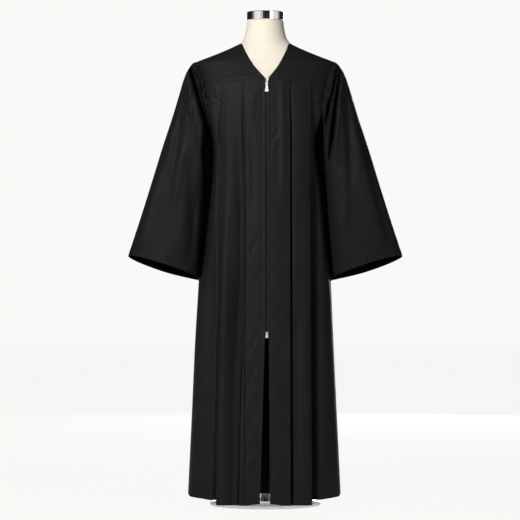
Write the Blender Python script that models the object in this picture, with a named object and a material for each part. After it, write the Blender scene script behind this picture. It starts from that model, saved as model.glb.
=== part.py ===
# A choir robe on a limbless dress form and its stand.
# Metres, +Z up. The robe faces -Y, and the wearer's left is +X.
import math
from collections import namedtuple

import bmesh
import bpy
import numpy as np
from mathutils import Matrix, Vector

CLOTH = 0.001  # thickness of every cloth wall
SEAM = 0.0004  # gap that two sewn edges keep
BODY_SEAT = 0.0017  # from the cloth's middle to the form that it rests on
NECK_ROOM = 0.0022  # how far the form's neck stands back from the neckline

SHOULDER_TIP = (0.2105, 1.3255)  # x and z of the sleeve's top seam
UNDERARM = (0.178, 1.060)  # x and z of the armhole's lowest point
ARMHOLE_BOW = 0.024  # how far the armhole curves in towards the neck
NECK_POINT = (0.070, 1.384)  # x and z where the neckline meets the shoulder
NECK_DROP_Z = 1.2678  # the V neck's lowest point
BACK_NECK_RISE = 0.010
YOKE_SEAM_Z = 1.2591

ZIP_X = 0.004  # the zip stands a little off the middle
ZIP_HALF_GAP = 0.0055  # from the zip's middle to each front edge
ZIP_TOP_Z = 1.2590
ZIP_END_Z = 0.5050
TAPE_WIDTH = 0.014
CHAIN_WIDTH = 0.005
CHAIN_THICKNESS = 0.002
CLOSE = 0.0003  # gap between parts that touch

FOOT_RADIUS = 0.165
FOOT_THICKNESS = 0.008
SOCKET_TOP_Z = 0.033
POLE_RADIUS = 0.014
SOCKET_WALL = 0.007
FLANGE_RADIUS = 0.050
FLANGE_THICKNESS = 0.004
COLLAR_LENGTH = 0.050  # how far the collar under the torso reaches down the pole
TORSO_BOTTOM_Z = 0.720
CAP_RADIUS = 0.0550
CAP_BOTTOM_Z = 1.4515
CAP_TOP_Z = 1.4770

# The robe's body at each height: half its width, its depth in front and behind,
# the power of the rounded oval between them, and the spacing of a pleat's layers.
Drape = namedtuple("Drape", "z side front back power layer")
DRAPE = (
    Drape(0.000, 0.2270, 0.218, 0.215, 2.35, 0.0050),
    Drape(0.250, 0.2150, 0.202, 0.196, 2.40, 0.0043),
    Drape(0.500, 0.2035, 0.185, 0.175, 2.40, 0.0034),
    Drape(0.660, 0.1966, 0.175, 0.162, 2.40, 0.0028),
    Drape(0.877, 0.1862, 0.160, 0.142, 2.40, 0.0021),
    Drape(0.970, 0.1815, 0.154, 0.134, 2.40, 0.0018),
    Drape(1.060, 0.1780, 0.149, 0.128, 2.40, 0.0017),
    Drape(1.120, 0.1890, 0.145, 0.124, 2.35, 0.0016),
    Drape(1.190, 0.2000, 0.139, 0.118, 2.25, 0.0015),
    Drape(1.260, 0.2050, 0.126, 0.111, 2.10, 0.0014),
    Drape(1.290, 0.2085, 0.113, 0.107, 2.00, 0.0013),
    Drape(1.3255, 0.2105, 0.094, 0.099, 2.00, 0.0013),
    Drape(1.355, 0.1400, 0.079, 0.087, 2.00, 0.0013),
    Drape(1.384, 0.0700, 0.066, 0.072, 2.00, 0.0013),
    Drape(1.400, 0.0650, 0.061, 0.065, 2.00, 0.0013),
)

# The dress form below the shoulders, where the cloth hangs clear of it, and its neck.
Form = namedtuple("Form", "z side front back power")
FORM_BODY = (
    Form(0.720, 0.1600, 0.118, 0.120, 2.3),
    Form(0.735, 0.1660, 0.122, 0.124, 2.3),
    Form(0.850, 0.1690, 0.118, 0.126, 2.3),
    Form(0.930, 0.1500, 0.108, 0.108, 2.2),
    Form(0.990, 0.1320, 0.104, 0.096, 2.2),
    Form(1.050, 0.1380, 0.112, 0.100, 2.2),
    Form(1.130, 0.1580, 0.125, 0.108, 2.2),
    Form(1.190, 0.1740, 0.126, 0.108, 2.2),
    Form(1.230, 0.1880, 0.1225, 0.106, 2.15),
)
FORM_NECK = (
    Form(1.396, 0.0625, 0.0595, 0.0620, 2.0),
    Form(1.410, 0.0605, 0.0580, 0.0605, 2.0),
    Form(1.430, 0.0565, 0.0560, 0.0570, 2.0),
    Form(1.4510, 0.0545, 0.0545, 0.0545, 2.0),
)
FORM_SHOULDER_HEIGHTS = (1.262, 1.285, 1.305, 1.3180, 1.3255, 1.340, 1.355, 1.370, 1.382)
CHEST_HOLLOW = 0.006  # how far the form falls back from the cloth below the shoulders

# Heights of the rows that the body's panels share: the armhole's corners, then down to the hem.
LOWER_HEIGHTS = (0.950, 0.810, 0.660, 0.505, 0.330, 0.160)

# Each knife pleat of a front: where its folded edge runs at the yoke seam, halfway and at the hem.
Pleat = namedtuple("Pleat", "top middle hem underlay")
PLEATS_RIGHT = (
    Pleat(0.0645, 0.0655, 0.0780, 0.024),
    Pleat(0.1295, 0.1310, 0.1430, 0.022),
)
PLEATS_LEFT = (
    Pleat(0.0755, 0.0760, 0.0775, 0.024),
    Pleat(0.1350, 0.1360, 0.1385, 0.022),
)

# The hem's height: at the front edge, at each pleat, beyond the last one, at the side and behind.
HEM = {"edge": 0.0210, "pleat": 0.0155, "corner": 0.0140, "under": 0.0250, "side": 0.0360, "back": 0.0150}

# Soft flutes down a panel: place from one edge to the other, share of its width, and depth at the hem.
Flute = namedtuple("Flute", "at width depth")
FRONT_FLUTES = (
    Flute(0.30, 0.11, -0.0050),
    Flute(0.62, 0.12, 0.0060),
)
BACK_FLUTES = (
    Flute(-0.80, 0.040, -0.007),
    Flute(-0.66, 0.036, 0.008),
    Flute(-0.53, 0.038, 0.011),
    Flute(-0.39, 0.036, -0.012),
    Flute(-0.24, 0.040, 0.012),
    Flute(-0.09, 0.036, -0.009),
    Flute(0.04, 0.038, 0.012),
    Flute(0.18, 0.036, -0.011),
    Flute(0.33, 0.040, 0.010),
    Flute(0.47, 0.036, -0.012),
    Flute(0.61, 0.038, 0.009),
    Flute(0.76, 0.036, -0.008),
)

# The sleeve from the shoulder down: its outer line, its inner line, and its reach in front and behind.
Sleeve = namedtuple("Sleeve", "along outer_x outer_z inner_x inner_z front back power lift")
SLEEVE = (
    Sleeve(0.00, 0.2105, 1.3255, 0.178, 1.060, 0.088, 0.080, 2.0, 0.000),
    Sleeve(0.035, 0.2260, 1.3120, 0.168, 1.040, 0.104, 0.096, 3.0, 0.000),
    Sleeve(0.09, 0.2370, 1.2880, 0.158, 1.018, 0.106, 0.098, 3.0, 0.000),
    Sleeve(0.18, 0.2535, 1.2400, 0.153, 0.996, 0.106, 0.098, 2.8, 0.000),
    Sleeve(0.30, 0.2760, 1.1660, 0.155, 0.950, 0.102, 0.095, 2.7, 0.000),
    Sleeve(0.45, 0.3070, 1.0720, 0.161, 0.893, 0.096, 0.090, 2.6, 0.002),
    Sleeve(0.62, 0.3370, 0.9750, 0.168, 0.825, 0.091, 0.087, 2.5, 0.005),
    Sleeve(0.80, 0.3730, 0.8600, 0.175, 0.752, 0.086, 0.083, 2.4, 0.009),
    Sleeve(0.93, 0.3970, 0.7870, 0.188, 0.702, 0.082, 0.080, 2.2, 0.012),
    Sleeve(1.00, 0.4110, 0.7440, 0.198, 0.673, 0.079, 0.077, 2.1, 0.0135),
)

# Folds down a sleeve: their place round it in degrees from its outer line, at the cap and at the cuff.
Fold = namedtuple("Fold", "cap cuff width depth reach")
SLEEVE_FOLDS = (
    Fold(52, 60, 13, -0.0070, 0.75),
    Fold(78, 84, 12, 0.0060, 0.85),
    Fold(104, 132, 11, -0.0120, 0.60),
    Fold(236, 262, 12, -0.0100, 0.70),
    Fold(268, 288, 13, 0.0060, 0.80),
    Fold(304, 312, 13, -0.0080, 0.75),
)

ARMHOLE_STEP = 30  # degrees between the armhole's corners, which both pieces share
STRIPS = 2  # faces across the cloth before each pleat
SIDE_STRIPS = 6  # faces from the last pleat to the side


def remove_all():
    for thing in list(bpy.data.objects):
        bpy.data.objects.remove(thing, do_unlink=True)


def along(rows, name, at):
    """One column of a table at a place down its first column, on a smooth curve through the rows."""
    places = np.array([row[0] for row in rows])
    values = np.array([getattr(row, name) for row in rows])
    at = min(max(at, places[0]), places[-1])
    i = min(int(np.searchsorted(places, at, side="right")) - 1, len(places) - 2)
    steps = np.diff(values) / np.diff(places)

    def slope(k):
        if k in (0, len(places) - 1):
            return steps[min(k, len(steps) - 1)]
        before, after = steps[k - 1], steps[k]
        return 0.0 if before * after <= 0 else 2 * before * after / (before + after)

    span = places[i + 1] - places[i]
    t = (at - places[i]) / span
    return float(
        values[i] * (1 + 2 * t) * (1 - t) ** 2
        + values[i + 1] * t * t * (3 - 2 * t)
        + slope(i) * span * t * (1 - t) ** 2
        - slope(i + 1) * span * t * t * (1 - t)
    )


def drape(name, z):
    if name == "side" and z > SHOULDER_TIP[1]:
        ridge = (NECK_POINT[1] - z) / (NECK_POINT[1] - SHOULDER_TIP[1])
        if ridge > 0:
            return NECK_POINT[0] + ridge * (SHOULDER_TIP[0] - NECK_POINT[0])
    return along(DRAPE, name, z)


def power_of(value, power):
    return math.copysign(abs(value) ** power, value)


def depth_at(x, z, behind=False):
    """How far the robe's body stands in front of (or behind) its middle at a width and a height."""
    share = min(abs(x) / drape("side", z), 1.0)
    power = drape("power", z)
    reach = drape("back" if behind else "front", z)
    return reach * (1 - share**power) ** (1 / power)


def angle_at(x, z):
    """The angle from the middle of the front at which the body is this wide."""
    share = min(abs(x) / drape("side", z), 1.0)
    return math.copysign(math.asin(share ** (drape("power", z) / 2)), x)


def body_point(angle, z, out=0.0, behind=False):
    """A point round the body, moved out along its own plan."""
    power = drape("power", z)
    side, reach = drape("side", z), drape("back" if behind else "front", z)
    x = side * power_of(math.sin(angle), 2 / power)
    y = reach * power_of(math.cos(angle), 2 / power)
    across = power_of(x / side, power - 1) / side
    ahead = power_of(y / reach, power - 1) / reach
    length = math.hypot(across, ahead)
    y_sign = 1 if behind else -1
    return np.array([x + out * across / length, y_sign * (y + out * ahead / length), z])


def armhole(degrees):
    """x and z of the armhole's seam, from the shoulder tip at 0 to the underarm at 180."""
    turn = math.radians(degrees)
    middle_x = (SHOULDER_TIP[0] + UNDERARM[0]) / 2
    middle_z = (SHOULDER_TIP[1] + UNDERARM[1]) / 2
    x = middle_x + (SHOULDER_TIP[0] - middle_x) * math.cos(turn) - ARMHOLE_BOW * abs(math.sin(turn))
    return x, middle_z + (SHOULDER_TIP[1] - middle_z) * math.cos(turn)


def armhole_point(degrees):
    """A point on the armhole, whose seam runs straight between shared corners; past 180 is behind."""
    low = math.floor(degrees / ARMHOLE_STEP) * ARMHOLE_STEP
    ends = []
    for corner in (low, low + ARMHOLE_STEP):
        front = corner if corner <= 180 else 360 - corner
        x, z = armhole(front)
        y = 0.0 if front in (0, 180) else depth_at(x, z, behind=corner > 180)
        ends.append(np.array([x, y if corner > 180 else -y, z]))
    share = (degrees - low) / ARMHOLE_STEP
    return ends[0] * (1 - share) + ends[1] * share


def finish(name, mesh, material):
    """Turn a bmesh into an object with its faces pointing out."""
    bmesh.ops.recalc_face_normals(mesh, faces=mesh.faces)
    data = bpy.data.meshes.new(name)
    mesh.to_mesh(data)
    mesh.free()
    data.shade_smooth()
    data.set_sharp_from_angle(angle=math.radians(40))
    made = bpy.data.objects.new(name, data)
    bpy.context.scene.collection.objects.link(made)
    data.materials.append(material)
    return made


def material(name, colour, roughness, metallic=0.0):
    made = bpy.data.materials.new(name)
    made.use_nodes = True
    shader = made.node_tree.nodes["Principled BSDF"]
    shader.inputs["Base Color"].default_value = (*colour, 1)
    shader.inputs["Roughness"].default_value = roughness
    shader.inputs["Metallic"].default_value = metallic
    made.diffuse_color = (*colour, 1)
    return made


def directions(grid, axis, wrap):
    """The way along the grid at each point, from the unit steps before and after it."""
    steps = np.roll(grid, -1, axis) - grid
    steps /= np.maximum(np.linalg.norm(steps, axis=2, keepdims=True), 1e-9)
    before = np.roll(steps, 1, axis)
    if not wrap:
        last = [slice(None)] * 3
        first = [slice(None)] * 3
        last[axis], first[axis] = -1, 0
        steps[tuple(last)] = before[tuple(last)]
        before[tuple(first)] = steps[tuple(first)]
    return steps + before


def cloth_solid(name, rows, made_of, thickness=CLOTH, wrap=False):
    """A closed wall of even thickness round a grid of points on its middle surface."""
    grid = np.array(rows, float)
    normal = np.cross(directions(grid, 1, wrap), directions(grid, 0, False))
    normal /= np.linalg.norm(normal, axis=2, keepdims=True)
    mesh = bmesh.new()
    layers = []
    for side in (1, -1):
        points = grid + normal * side * thickness / 2
        layers.append([[mesh.verts.new(point) for point in row] for row in points])
    count = len(grid[0])
    spans = range(count if wrap else count - 1)
    for layer in layers:
        for above, below in zip(layer, layer[1:]):
            for i in spans:
                j = (i + 1) % count
                mesh.faces.new((above[i], above[j], below[j]))
                mesh.faces.new((above[i], below[j], below[i]))
    outer, inner = layers
    for a, b in ((outer[0], inner[0]), (outer[-1], inner[-1])):
        for i in spans:
            j = (i + 1) % count
            mesh.faces.new((a[i], a[j], b[j], b[i]))
    if not wrap:
        for end in (0, -1):
            for i in range(len(grid) - 1):
                mesh.faces.new((outer[i][end], outer[i + 1][end], inner[i + 1][end], inner[i][end]))
    return finish(name, mesh, made_of)


def turned(name, profile, made_of, steps=48):
    """A solid turned about the Z axis from (radius, height) pairs, both ends on the axis."""
    mesh = bmesh.new()
    rings = []
    for radius, z in profile:
        if radius == 0:
            rings.append([mesh.verts.new((0, 0, z))])
            continue
        turns = [2 * math.pi * i / steps for i in range(steps)]
        rings.append([mesh.verts.new((radius * math.cos(a), radius * math.sin(a), z)) for a in turns])
    for low, high in zip(rings, rings[1:]):
        for i in range(steps):
            j = (i + 1) % steps
            corners = (low[i % len(low)], low[j % len(low)], high[j % len(high)], high[i % len(high)])
            mesh.faces.new(dict.fromkeys(corners))
    return finish(name, mesh, made_of)


def form_section(z):
    """Half width, front, back and power of the form's shoulders, just under the cloth."""
    over = z + BODY_SEAT
    falling = min(max((1.320 - z) / 0.055, 0.0), 1.0)
    rising = min(max((z - 1.355) / 0.020, 0.0), 1.0)
    hollow = CHEST_HOLLOW * falling * falling * (3 - 2 * falling) + NECK_ROOM * rising
    tip = 4 * BODY_SEAT * min(max((1.362 - z) / 0.0365, 0.0), 1.0)
    side = drape("side", over) - tip - hollow
    front = drape("front", over) - BODY_SEAT - hollow
    back = drape("back", over) - BODY_SEAT - hollow
    return Form(z, side, front, back, drape("power", over))


def form_torso(cream, steps=40):
    """The form's smooth body, shoulders and neck, flat under its hips."""
    rows = list(FORM_BODY) + [form_section(z) for z in FORM_SHOULDER_HEIGHTS] + list(FORM_NECK)
    mesh = bmesh.new()
    rings = []
    for row in rows:
        ring = []
        for i in range(steps):
            turn = 2 * math.pi * i / steps
            reach = row.back if math.sin(turn) > 0 else row.front
            x = row.side * power_of(math.cos(turn), 2 / row.power)
            y = reach * power_of(math.sin(turn), 2 / row.power)
            ring.append(mesh.verts.new((x, y, row.z)))
        rings.append(ring)
    for low, high in zip(rings, rings[1:]):
        for i in range(steps):
            j = (i + 1) % steps
            mesh.faces.new((low[i], low[j], high[j], high[i]))
    mesh.faces.new(rings[0])
    mesh.faces.new(rings[-1])
    return finish("form_torso", mesh, cream)


def stand(glass, black, chrome):
    """Round glass foot with a socket, the pole in it, the flange under the torso, and the neck's cap."""
    socket = POLE_RADIUS + SOCKET_WALL
    hole = POLE_RADIUS + CLOSE
    edge = 0.002
    foot = (
        (0, 0), (FOOT_RADIUS - edge, 0), (FOOT_RADIUS, edge), (FOOT_RADIUS, FOOT_THICKNESS - edge),
        (FOOT_RADIUS - edge, FOOT_THICKNESS),
        (socket + edge, FOOT_THICKNESS), (socket, FOOT_THICKNESS + edge),
        (socket, SOCKET_TOP_Z - edge / 2), (hole, SOCKET_TOP_Z), (hole, FOOT_THICKNESS), (0, FOOT_THICKNESS),
    )
    turned("stand_base", foot, glass, 48)
    pole_top = TORSO_BOTTOM_Z - FLANGE_THICKNESS - 2 * CLOSE
    pole_foot = FOOT_THICKNESS + CLOSE
    pole = ((0, pole_foot), (POLE_RADIUS, pole_foot), (POLE_RADIUS, pole_top), (0, pole_top))
    turned("stand_pole", pole, black, 24)
    flange_top = TORSO_BOTTOM_Z - CLOSE
    plate = flange_top - FLANGE_THICKNESS
    low = plate - COLLAR_LENGTH
    collar = (
        (0, plate), (hole, plate), (hole, low), (socket, low), (socket, plate - FLANGE_THICKNESS),
        (FLANGE_RADIUS, plate), (FLANGE_RADIUS, flange_top), (0, flange_top),
    )
    turned("stand_collar", collar, black, 32)
    rim = 0.0015
    cap = (
        (0, CAP_BOTTOM_Z), (CAP_RADIUS - rim, CAP_BOTTOM_Z), (CAP_RADIUS, CAP_BOTTOM_Z + rim),
        (CAP_RADIUS, CAP_TOP_Z - rim), (CAP_RADIUS - rim, CAP_TOP_Z), (0, CAP_TOP_Z),
    )
    turned("neck_cap", cap, chrome, 48)


def neckline(share, edge):
    """x and z down the V from the shoulder, and straight down the front edge below it."""
    z = NECK_POINT[1] + share * (YOKE_SEAM_Z + SEAM / 2 - NECK_POINT[1])
    down = min((NECK_POINT[1] - z) / (NECK_POINT[1] - NECK_DROP_Z), 1.0)
    return edge + (NECK_POINT[0] - edge) * (1 - down**1.35), z


def front_edge(side, z):
    """How far a front's edge stands from the robe's middle: beside the zip, and opening below it."""
    beside = ZIP_HALF_GAP + side * ZIP_X
    at_hem = 0.0132 if side > 0 else 0.0158
    below = min(max((ZIP_END_Z - z) / (ZIP_END_Z - HEM["edge"]), 0.0), 1.0)
    return beside + (at_hem - beside) * below


def mirrored(points, side):
    return [[np.array([point[0] * side, point[1], point[2]]) for point in row] for row in points]


def yoke_front(name, side, black, rows=8, columns=8):
    """From the shoulder's ridge down to the yoke seam, between the V and the armhole."""
    grid = []
    edge = front_edge(side, YOKE_SEAM_Z)
    for j in range(rows + 1):
        turn = math.pi / 2 * j / rows
        inner_x, inner_z = neckline(1 - math.cos(turn), edge)
        outer = armhole_point(2 * ARMHOLE_STEP * j / rows)
        outer_z = outer[2] + SEAM / 2 * j / rows
        row = []
        for i in range(columns + 1):
            share = i / columns
            x = inner_x + (outer[0] - SEAM - inner_x) * share
            z = inner_z + (outer_z - inner_z) * share
            y = depth_at(x, z) if j else 0.0
            row.append((x, -y - SEAM / 2 if j == 0 else -y, z))
        grid.append(row)
    return cloth_solid(name, mirrored(grid, side), black)


def yoke_back(black, rows=8):
    """One piece from shoulder to shoulder behind the neck, down to the back seam."""
    tops = (0.2105, 0.182, 0.150, 0.120, 0.094, 0.070, 0.066, 0.056, 0.040, 0.021, 0.0)
    low_neck = 0.055
    columns = []
    for top in tops:
        column = []
        for j in range(rows + 1):
            share = 1 - math.cos(math.pi / 2 * j / rows)
            outer = armhole_point(360 - 2 * ARMHOLE_STEP * j / rows) if j else armhole_point(0)
            outer_z = outer[2] + SEAM / 2 * j / rows
            neck_z = NECK_POINT[1] + share * (YOKE_SEAM_Z + SEAM / 2 - NECK_POINT[1])
            neck_x = NECK_POINT[0] + share * (low_neck - NECK_POINT[0])
            if top >= NECK_POINT[0]:
                place = (top - NECK_POINT[0]) / (SHOULDER_TIP[0] - NECK_POINT[0])
                x = neck_x + (outer[0] - SEAM - neck_x) * place
                z = neck_z + (outer_z - neck_z) * place
            else:
                inward = top / NECK_POINT[0]
                rise = BACK_NECK_RISE * (1 - inward**2) * (1 - share)
                x, z = neck_x * inward, neck_z + rise
            on_ridge = j == 0 and top >= NECK_POINT[0]
            column.append((x, SEAM / 2 if on_ridge else depth_at(x, z, behind=True), z))
        columns.append(column)
    left = [[np.array(column[j]) for column in columns] for j in range(rows + 1)]
    whole = []
    for row in left:
        other = [np.array([-point[0], point[1], point[2]]) for point in reversed(row[:-1])]
        whole.append(row + other)
    return cloth_solid("yoke_back", whole, black)


def armhole_rows():
    """Heights of the armhole's corners from the yoke seam down to the underarm."""
    return [armhole(degrees)[1] for degrees in range(2 * ARMHOLE_STEP, 181, ARMHOLE_STEP)]


def row_heights():
    return [YOKE_SEAM_Z - SEAM / 2] + armhole_rows()[1:] + list(LOWER_HEIGHTS) + [0.0]


def side_angle(z):
    """The angle at which a body panel ends: on the armhole, and below it on the side seam."""
    if z <= UNDERARM[1] + 1e-6:
        return math.pi / 2
    corners = [armhole(degrees) for degrees in range(2 * ARMHOLE_STEP, 181, ARMHOLE_STEP)]
    heights = [corner[1] for corner in reversed(corners)]
    widths = [corner[0] for corner in reversed(corners)]
    return angle_at(float(np.interp(z, heights, widths)) - SEAM, z)


def flute_depth(flutes, place, z):
    """How far soft flutes move the cloth, growing from nothing at the yoke to full depth at the hem."""
    grown = ((YOKE_SEAM_Z - z) / YOKE_SEAM_Z) ** 1.6 if z < YOKE_SEAM_Z else 0.0
    return grown * sum(f.depth * math.exp(-(((place - f.at) / f.width) ** 2)) for f in flutes)


def pleat_x(pleat, z):
    return float(np.interp(z, (0.0, 0.66, YOKE_SEAM_Z), (pleat.hem, pleat.middle, pleat.top)))


def front_row(side, pleats, z, last):
    """One level section of a front: placket, first pleat, strip, second pleat and side."""
    level_z = z if not last else HEM["edge"]
    layer = drape("layer", level_z)
    turn = layer / 2
    points = []

    def put(x, level, height):
        at = height if last else z
        points.append(body_point(angle_at(x, at), at, level * layer))

    edge = front_edge(side, level_z)
    start, start_level = edge, 0.0
    heights = {"before": HEM["edge"], "fold": HEM["pleat"], "after": HEM["pleat"]}
    for number, pleat in enumerate(pleats):
        fold = pleat_x(pleat, level_z)
        root = fold - pleat.underlay
        for i in range(STRIPS):
            share = i / STRIPS
            easing = share * share * (3 - 2 * share)
            if number and not i:
                continue
            level = start_level * (1 - easing)
            put(start + (root - start) * share, level, heights["before"])
        half = fold - pleat.underlay / 2
        for x in (root, half, fold - turn):
            put(x, 0.0, heights["fold"])
        for degrees in (45, 90, 135):
            angle = math.radians(degrees)
            put(fold - turn + turn * math.sin(angle), -0.5 + 0.5 * math.cos(angle), heights["fold"])
        for x in (fold - turn, half, root + turn):
            put(x, -1.0, heights["fold"])
        put(root, -1.5, heights["fold"])
        if number:
            heights["after"] = HEM["under"]
        for x in (root + turn, half, fold - turn):
            put(x, -2.0, heights["after"])
        start, start_level = fold, -2.0
        heights = {"before": HEM["pleat"], "fold": HEM["corner"], "after": HEM["under"]}
    first, end = angle_at(start, level_z), side_angle(level_z)
    for i in range(1, SIDE_STRIPS + 1):
        share = i / SIDE_STRIPS
        at = HEM["under"] + (HEM["side"] - HEM["under"]) * share if last else z
        out = -2.0 * layer * (1 - share) ** 2 + flute_depth(FRONT_FLUTES, share, at)
        point = body_point(first + (end - first) * share, at, out)
        if i == SIDE_STRIPS and end == math.pi / 2:
            point[1] -= SEAM / 2
        points.append(point)
    return points


def front(name, side, pleats, black):
    heights = row_heights()
    rows = [front_row(side, pleats, z, i == len(heights) - 1) for i, z in enumerate(heights)]
    return cloth_solid(name, mirrored(rows, side), black)


def back(black, columns=42):
    """The back, from side seam to side seam, hanging in flutes."""
    rows = []
    heights = row_heights()
    for number, z in enumerate(heights):
        last = number == len(heights) - 1
        row = []
        for i in range(columns + 1):
            place = 2 * i / columns - 1
            drop = (HEM["back"] - HEM["side"]) * math.cos(place * math.pi / 2) ** 0.5
            at = HEM["side"] + drop if last else z
            out = flute_depth(BACK_FLUTES, place, at)
            point = body_point(side_angle(at) * place, at, out, behind=True)
            if abs(place) == 1 and at <= UNDERARM[1] + 1e-6:
                point[1] += SEAM / 2
            row.append(point)
        rows.append(row)
    return cloth_solid("back", rows, black)


def clear_of_body(point, gap):
    """Push a point straight out from the robe's middle until it stands clear of the body."""
    x, y, z = point
    power = drape("power", z)
    reach = drape("back" if y > 0 else "front", z)
    size = ((abs(x) / drape("side", z)) ** power + (abs(y) / reach) ** power) ** (1 / power)
    wanted = 1 + gap / math.hypot(x, y)
    grow = max(wanted / size, 1.0)
    return np.array([x * grow, y * grow, z])


def sleeve_row(row, steps):
    """One ring round the sleeve, turning from its outer line to the front, the body and the back."""
    middle = np.array([(row.outer_x + row.inner_x) / 2, 0.0, (row.outer_z + row.inner_z) / 2])
    half = np.array([(row.outer_x - row.inner_x) / 2, 0.0, (row.outer_z - row.inner_z) / 2])
    eased = 1 - (1 - min(row.along / 0.18, 1.0)) ** 2
    points = []
    for i in range(steps):
        degrees = 360 * i / steps
        turn = math.radians(degrees)
        reach = row.front if degrees <= 180 else row.back
        across = power_of(math.cos(turn), 2 / row.power)
        ahead = power_of(math.sin(turn), 2 / row.power)
        ring = middle + half * across + np.array([0.0, -reach * ahead, row.lift * math.sin(turn)])
        seam = armhole_point(degrees)
        point = seam * (1 - eased) + ring * eased
        fade = max(1 - row.along / 0.98, 0.0) * min(row.along / 0.08, 1.0)
        depth = 0.0
        for fold in SLEEVE_FOLDS:
            centre = fold.cap + (fold.cuff - fold.cap) * row.along
            away = (degrees - centre) / fold.width
            depth += fold.depth * math.exp(-away * away) * fade ** fold.reach
        point += np.array([math.cos(turn) * 0.5, -math.sin(turn), 0.0]) * depth
        if row.along == 0:
            gap = SEAM + CLOTH * (1 - math.cos(turn)) / 2
            point += np.array([gap, 0, 0])
        else:
            gap = min(0.0022 + row.along * 0.05, 0.0050)
        points.append(clear_of_body(point, gap))
    return points


def sleeve(name, side, black, steps=36):
    rows = [sleeve_row(row, steps) for row in SLEEVE]
    return cloth_solid(name, mirrored(rows, side), black, wrap=True)


def zip_heights(top, bottom):
    between = [z for z in row_heights() if bottom + 0.004 < z < top - 0.004]
    return [top] + between + [bottom]


def zip_strip(name, inner, outer, top, bottom, thickness, made_of):
    """A strip of the zip behind the fronts, between two distances from the zip's middle."""
    rows = []
    for z in zip_heights(top, bottom):
        row = []
        for share in (0.0, 0.5, 1.0):
            x = ZIP_X + inner + (outer - inner) * share
            row.append(body_point(angle_at(x, z), z, -(CLOTH + CLOSE)))
        rows.append(row)
    return cloth_solid(name, rows, made_of, thickness)


def boxed(name, low, high, bevel, made_of):
    """A block between two corners, with bevelled edges."""
    mesh = bmesh.new()
    bmesh.ops.create_cube(mesh, size=1.0)
    low, high = Vector(low), Vector(high)
    for corner in mesh.verts:
        share = corner.co + Vector((0.5, 0.5, 0.5))
        corner.co = Vector([low[i] + (high[i] - low[i]) * share[i] for i in range(3)])
    if bevel:
        bmesh.ops.bevel(mesh, geom=mesh.edges[:], offset=bevel, segments=1, affect="EDGES")
    return finish(name, mesh, made_of)


SLIDER_HALF = 0.00525  # half the slider's length
PLATE_WIDTH = 0.0040  # half the plate's width
PLATE_INNER = CHAIN_THICKNESS / 2 + CLOSE
FRONT_PLATE = 0.0015
BACK_PLATE = 0.0010
PIVOT_RISE = 0.0011  # from the front plate to the tab's pin
ARCH_OUTER = 0.0030
ARCH_INNER = 0.0021
ARCH_HALF_WIDTH = 0.0011
PIN_HALF = 0.0005
TAB_HALF_THICKNESS = 0.0006
EYE_HALF_WIDTH = 0.0015
EYE_DEPTH = 0.0036
NECK_HALF_WIDTH = 0.0016  # the slider's neck, between its two plates
NECK_ENDS = (0.0026, 0.0048)  # how far the neck stands from the slider's middle


def arch(name, made_of, steps=10):
    """The half ring on the slider's front that holds the tab's pin, with legs into the plate."""
    centre = -(PLATE_INNER + FRONT_PLATE + PIVOT_RISE)
    foot = -(PLATE_INNER + FRONT_PLATE / 2)
    outline = [(foot, ARCH_OUTER)]
    for radius, order in ((ARCH_OUTER, 1), (ARCH_INNER, -1)):
        turns = [math.pi * i / steps for i in range(steps + 1)][::order]
        outline += [(centre - radius * math.sin(a), radius * math.cos(a)) for a in turns]
        outline.append((foot, -ARCH_OUTER if order == 1 else ARCH_INNER))
        if order == 1:
            outline.append((foot, -ARCH_INNER))
    mesh = bmesh.new()
    face = mesh.faces.new([mesh.verts.new((-ARCH_HALF_WIDTH, y, z)) for y, z in outline])
    made = bmesh.ops.extrude_face_region(mesh, geom=[face])
    moved = [item for item in made["geom"] if isinstance(item, bmesh.types.BMVert)]
    bmesh.ops.translate(mesh, verts=moved, vec=(2 * ARCH_HALF_WIDTH, 0, 0))
    return finish(name, mesh, made_of)


def zip_place(z):
    """The chain's middle at a height, and its lean about X, on the straight run between two rows."""
    heights = [ZIP_TOP_Z] + row_heights()[1:]
    above = min(height for height in heights if height >= z)
    below = max(height for height in heights if height < z)
    inward = -(CLOTH + CLOSE)
    ends = [Vector(body_point(angle_at(ZIP_X, height), height, inward)) for height in (below, above)]
    run = ends[1] - ends[0]
    return ends[0] + run * (z - below) / (above - below), math.atan2(run.y, run.z)


def slider(name, z, neck_up, chrome):
    """Two plates joined by a neck, and an arch on the front one."""
    inner, front_face = PLATE_INNER, PLATE_INNER + FRONT_PLATE
    body = boxed(name, (-PLATE_WIDTH, -front_face, -SLIDER_HALF),
                 (PLATE_WIDTH, -inner, SLIDER_HALF), 0.0004, chrome)
    rear = boxed(name + "_rear", (-PLATE_WIDTH, inner, -SLIDER_HALF),
                 (PLATE_WIDTH, inner + BACK_PLATE, SLIDER_HALF), 0.0003, chrome)
    up = 1 if neck_up else -1
    ends = sorted(end * up for end in NECK_ENDS)
    neck = boxed(name + "_neck", (-NECK_HALF_WIDTH, -inner - FRONT_PLATE / 2, ends[0]),
                 (NECK_HALF_WIDTH, inner + BACK_PLATE / 2, ends[1]), 0, chrome)
    for piece in (neck, rear, arch(name + "_arch", chrome)):
        piece.parent = body
        piece.hide_render = True
        piece.display_type = "WIRE"
        union = body.modifiers.new(piece.name, "BOOLEAN")
        union.operation = "UNION"
        union.solver = "EXACT"
        union.object = piece
    body.location, lean = zip_place(z)
    body.rotation_euler = (-lean, 0, 0)
    return body


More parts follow.
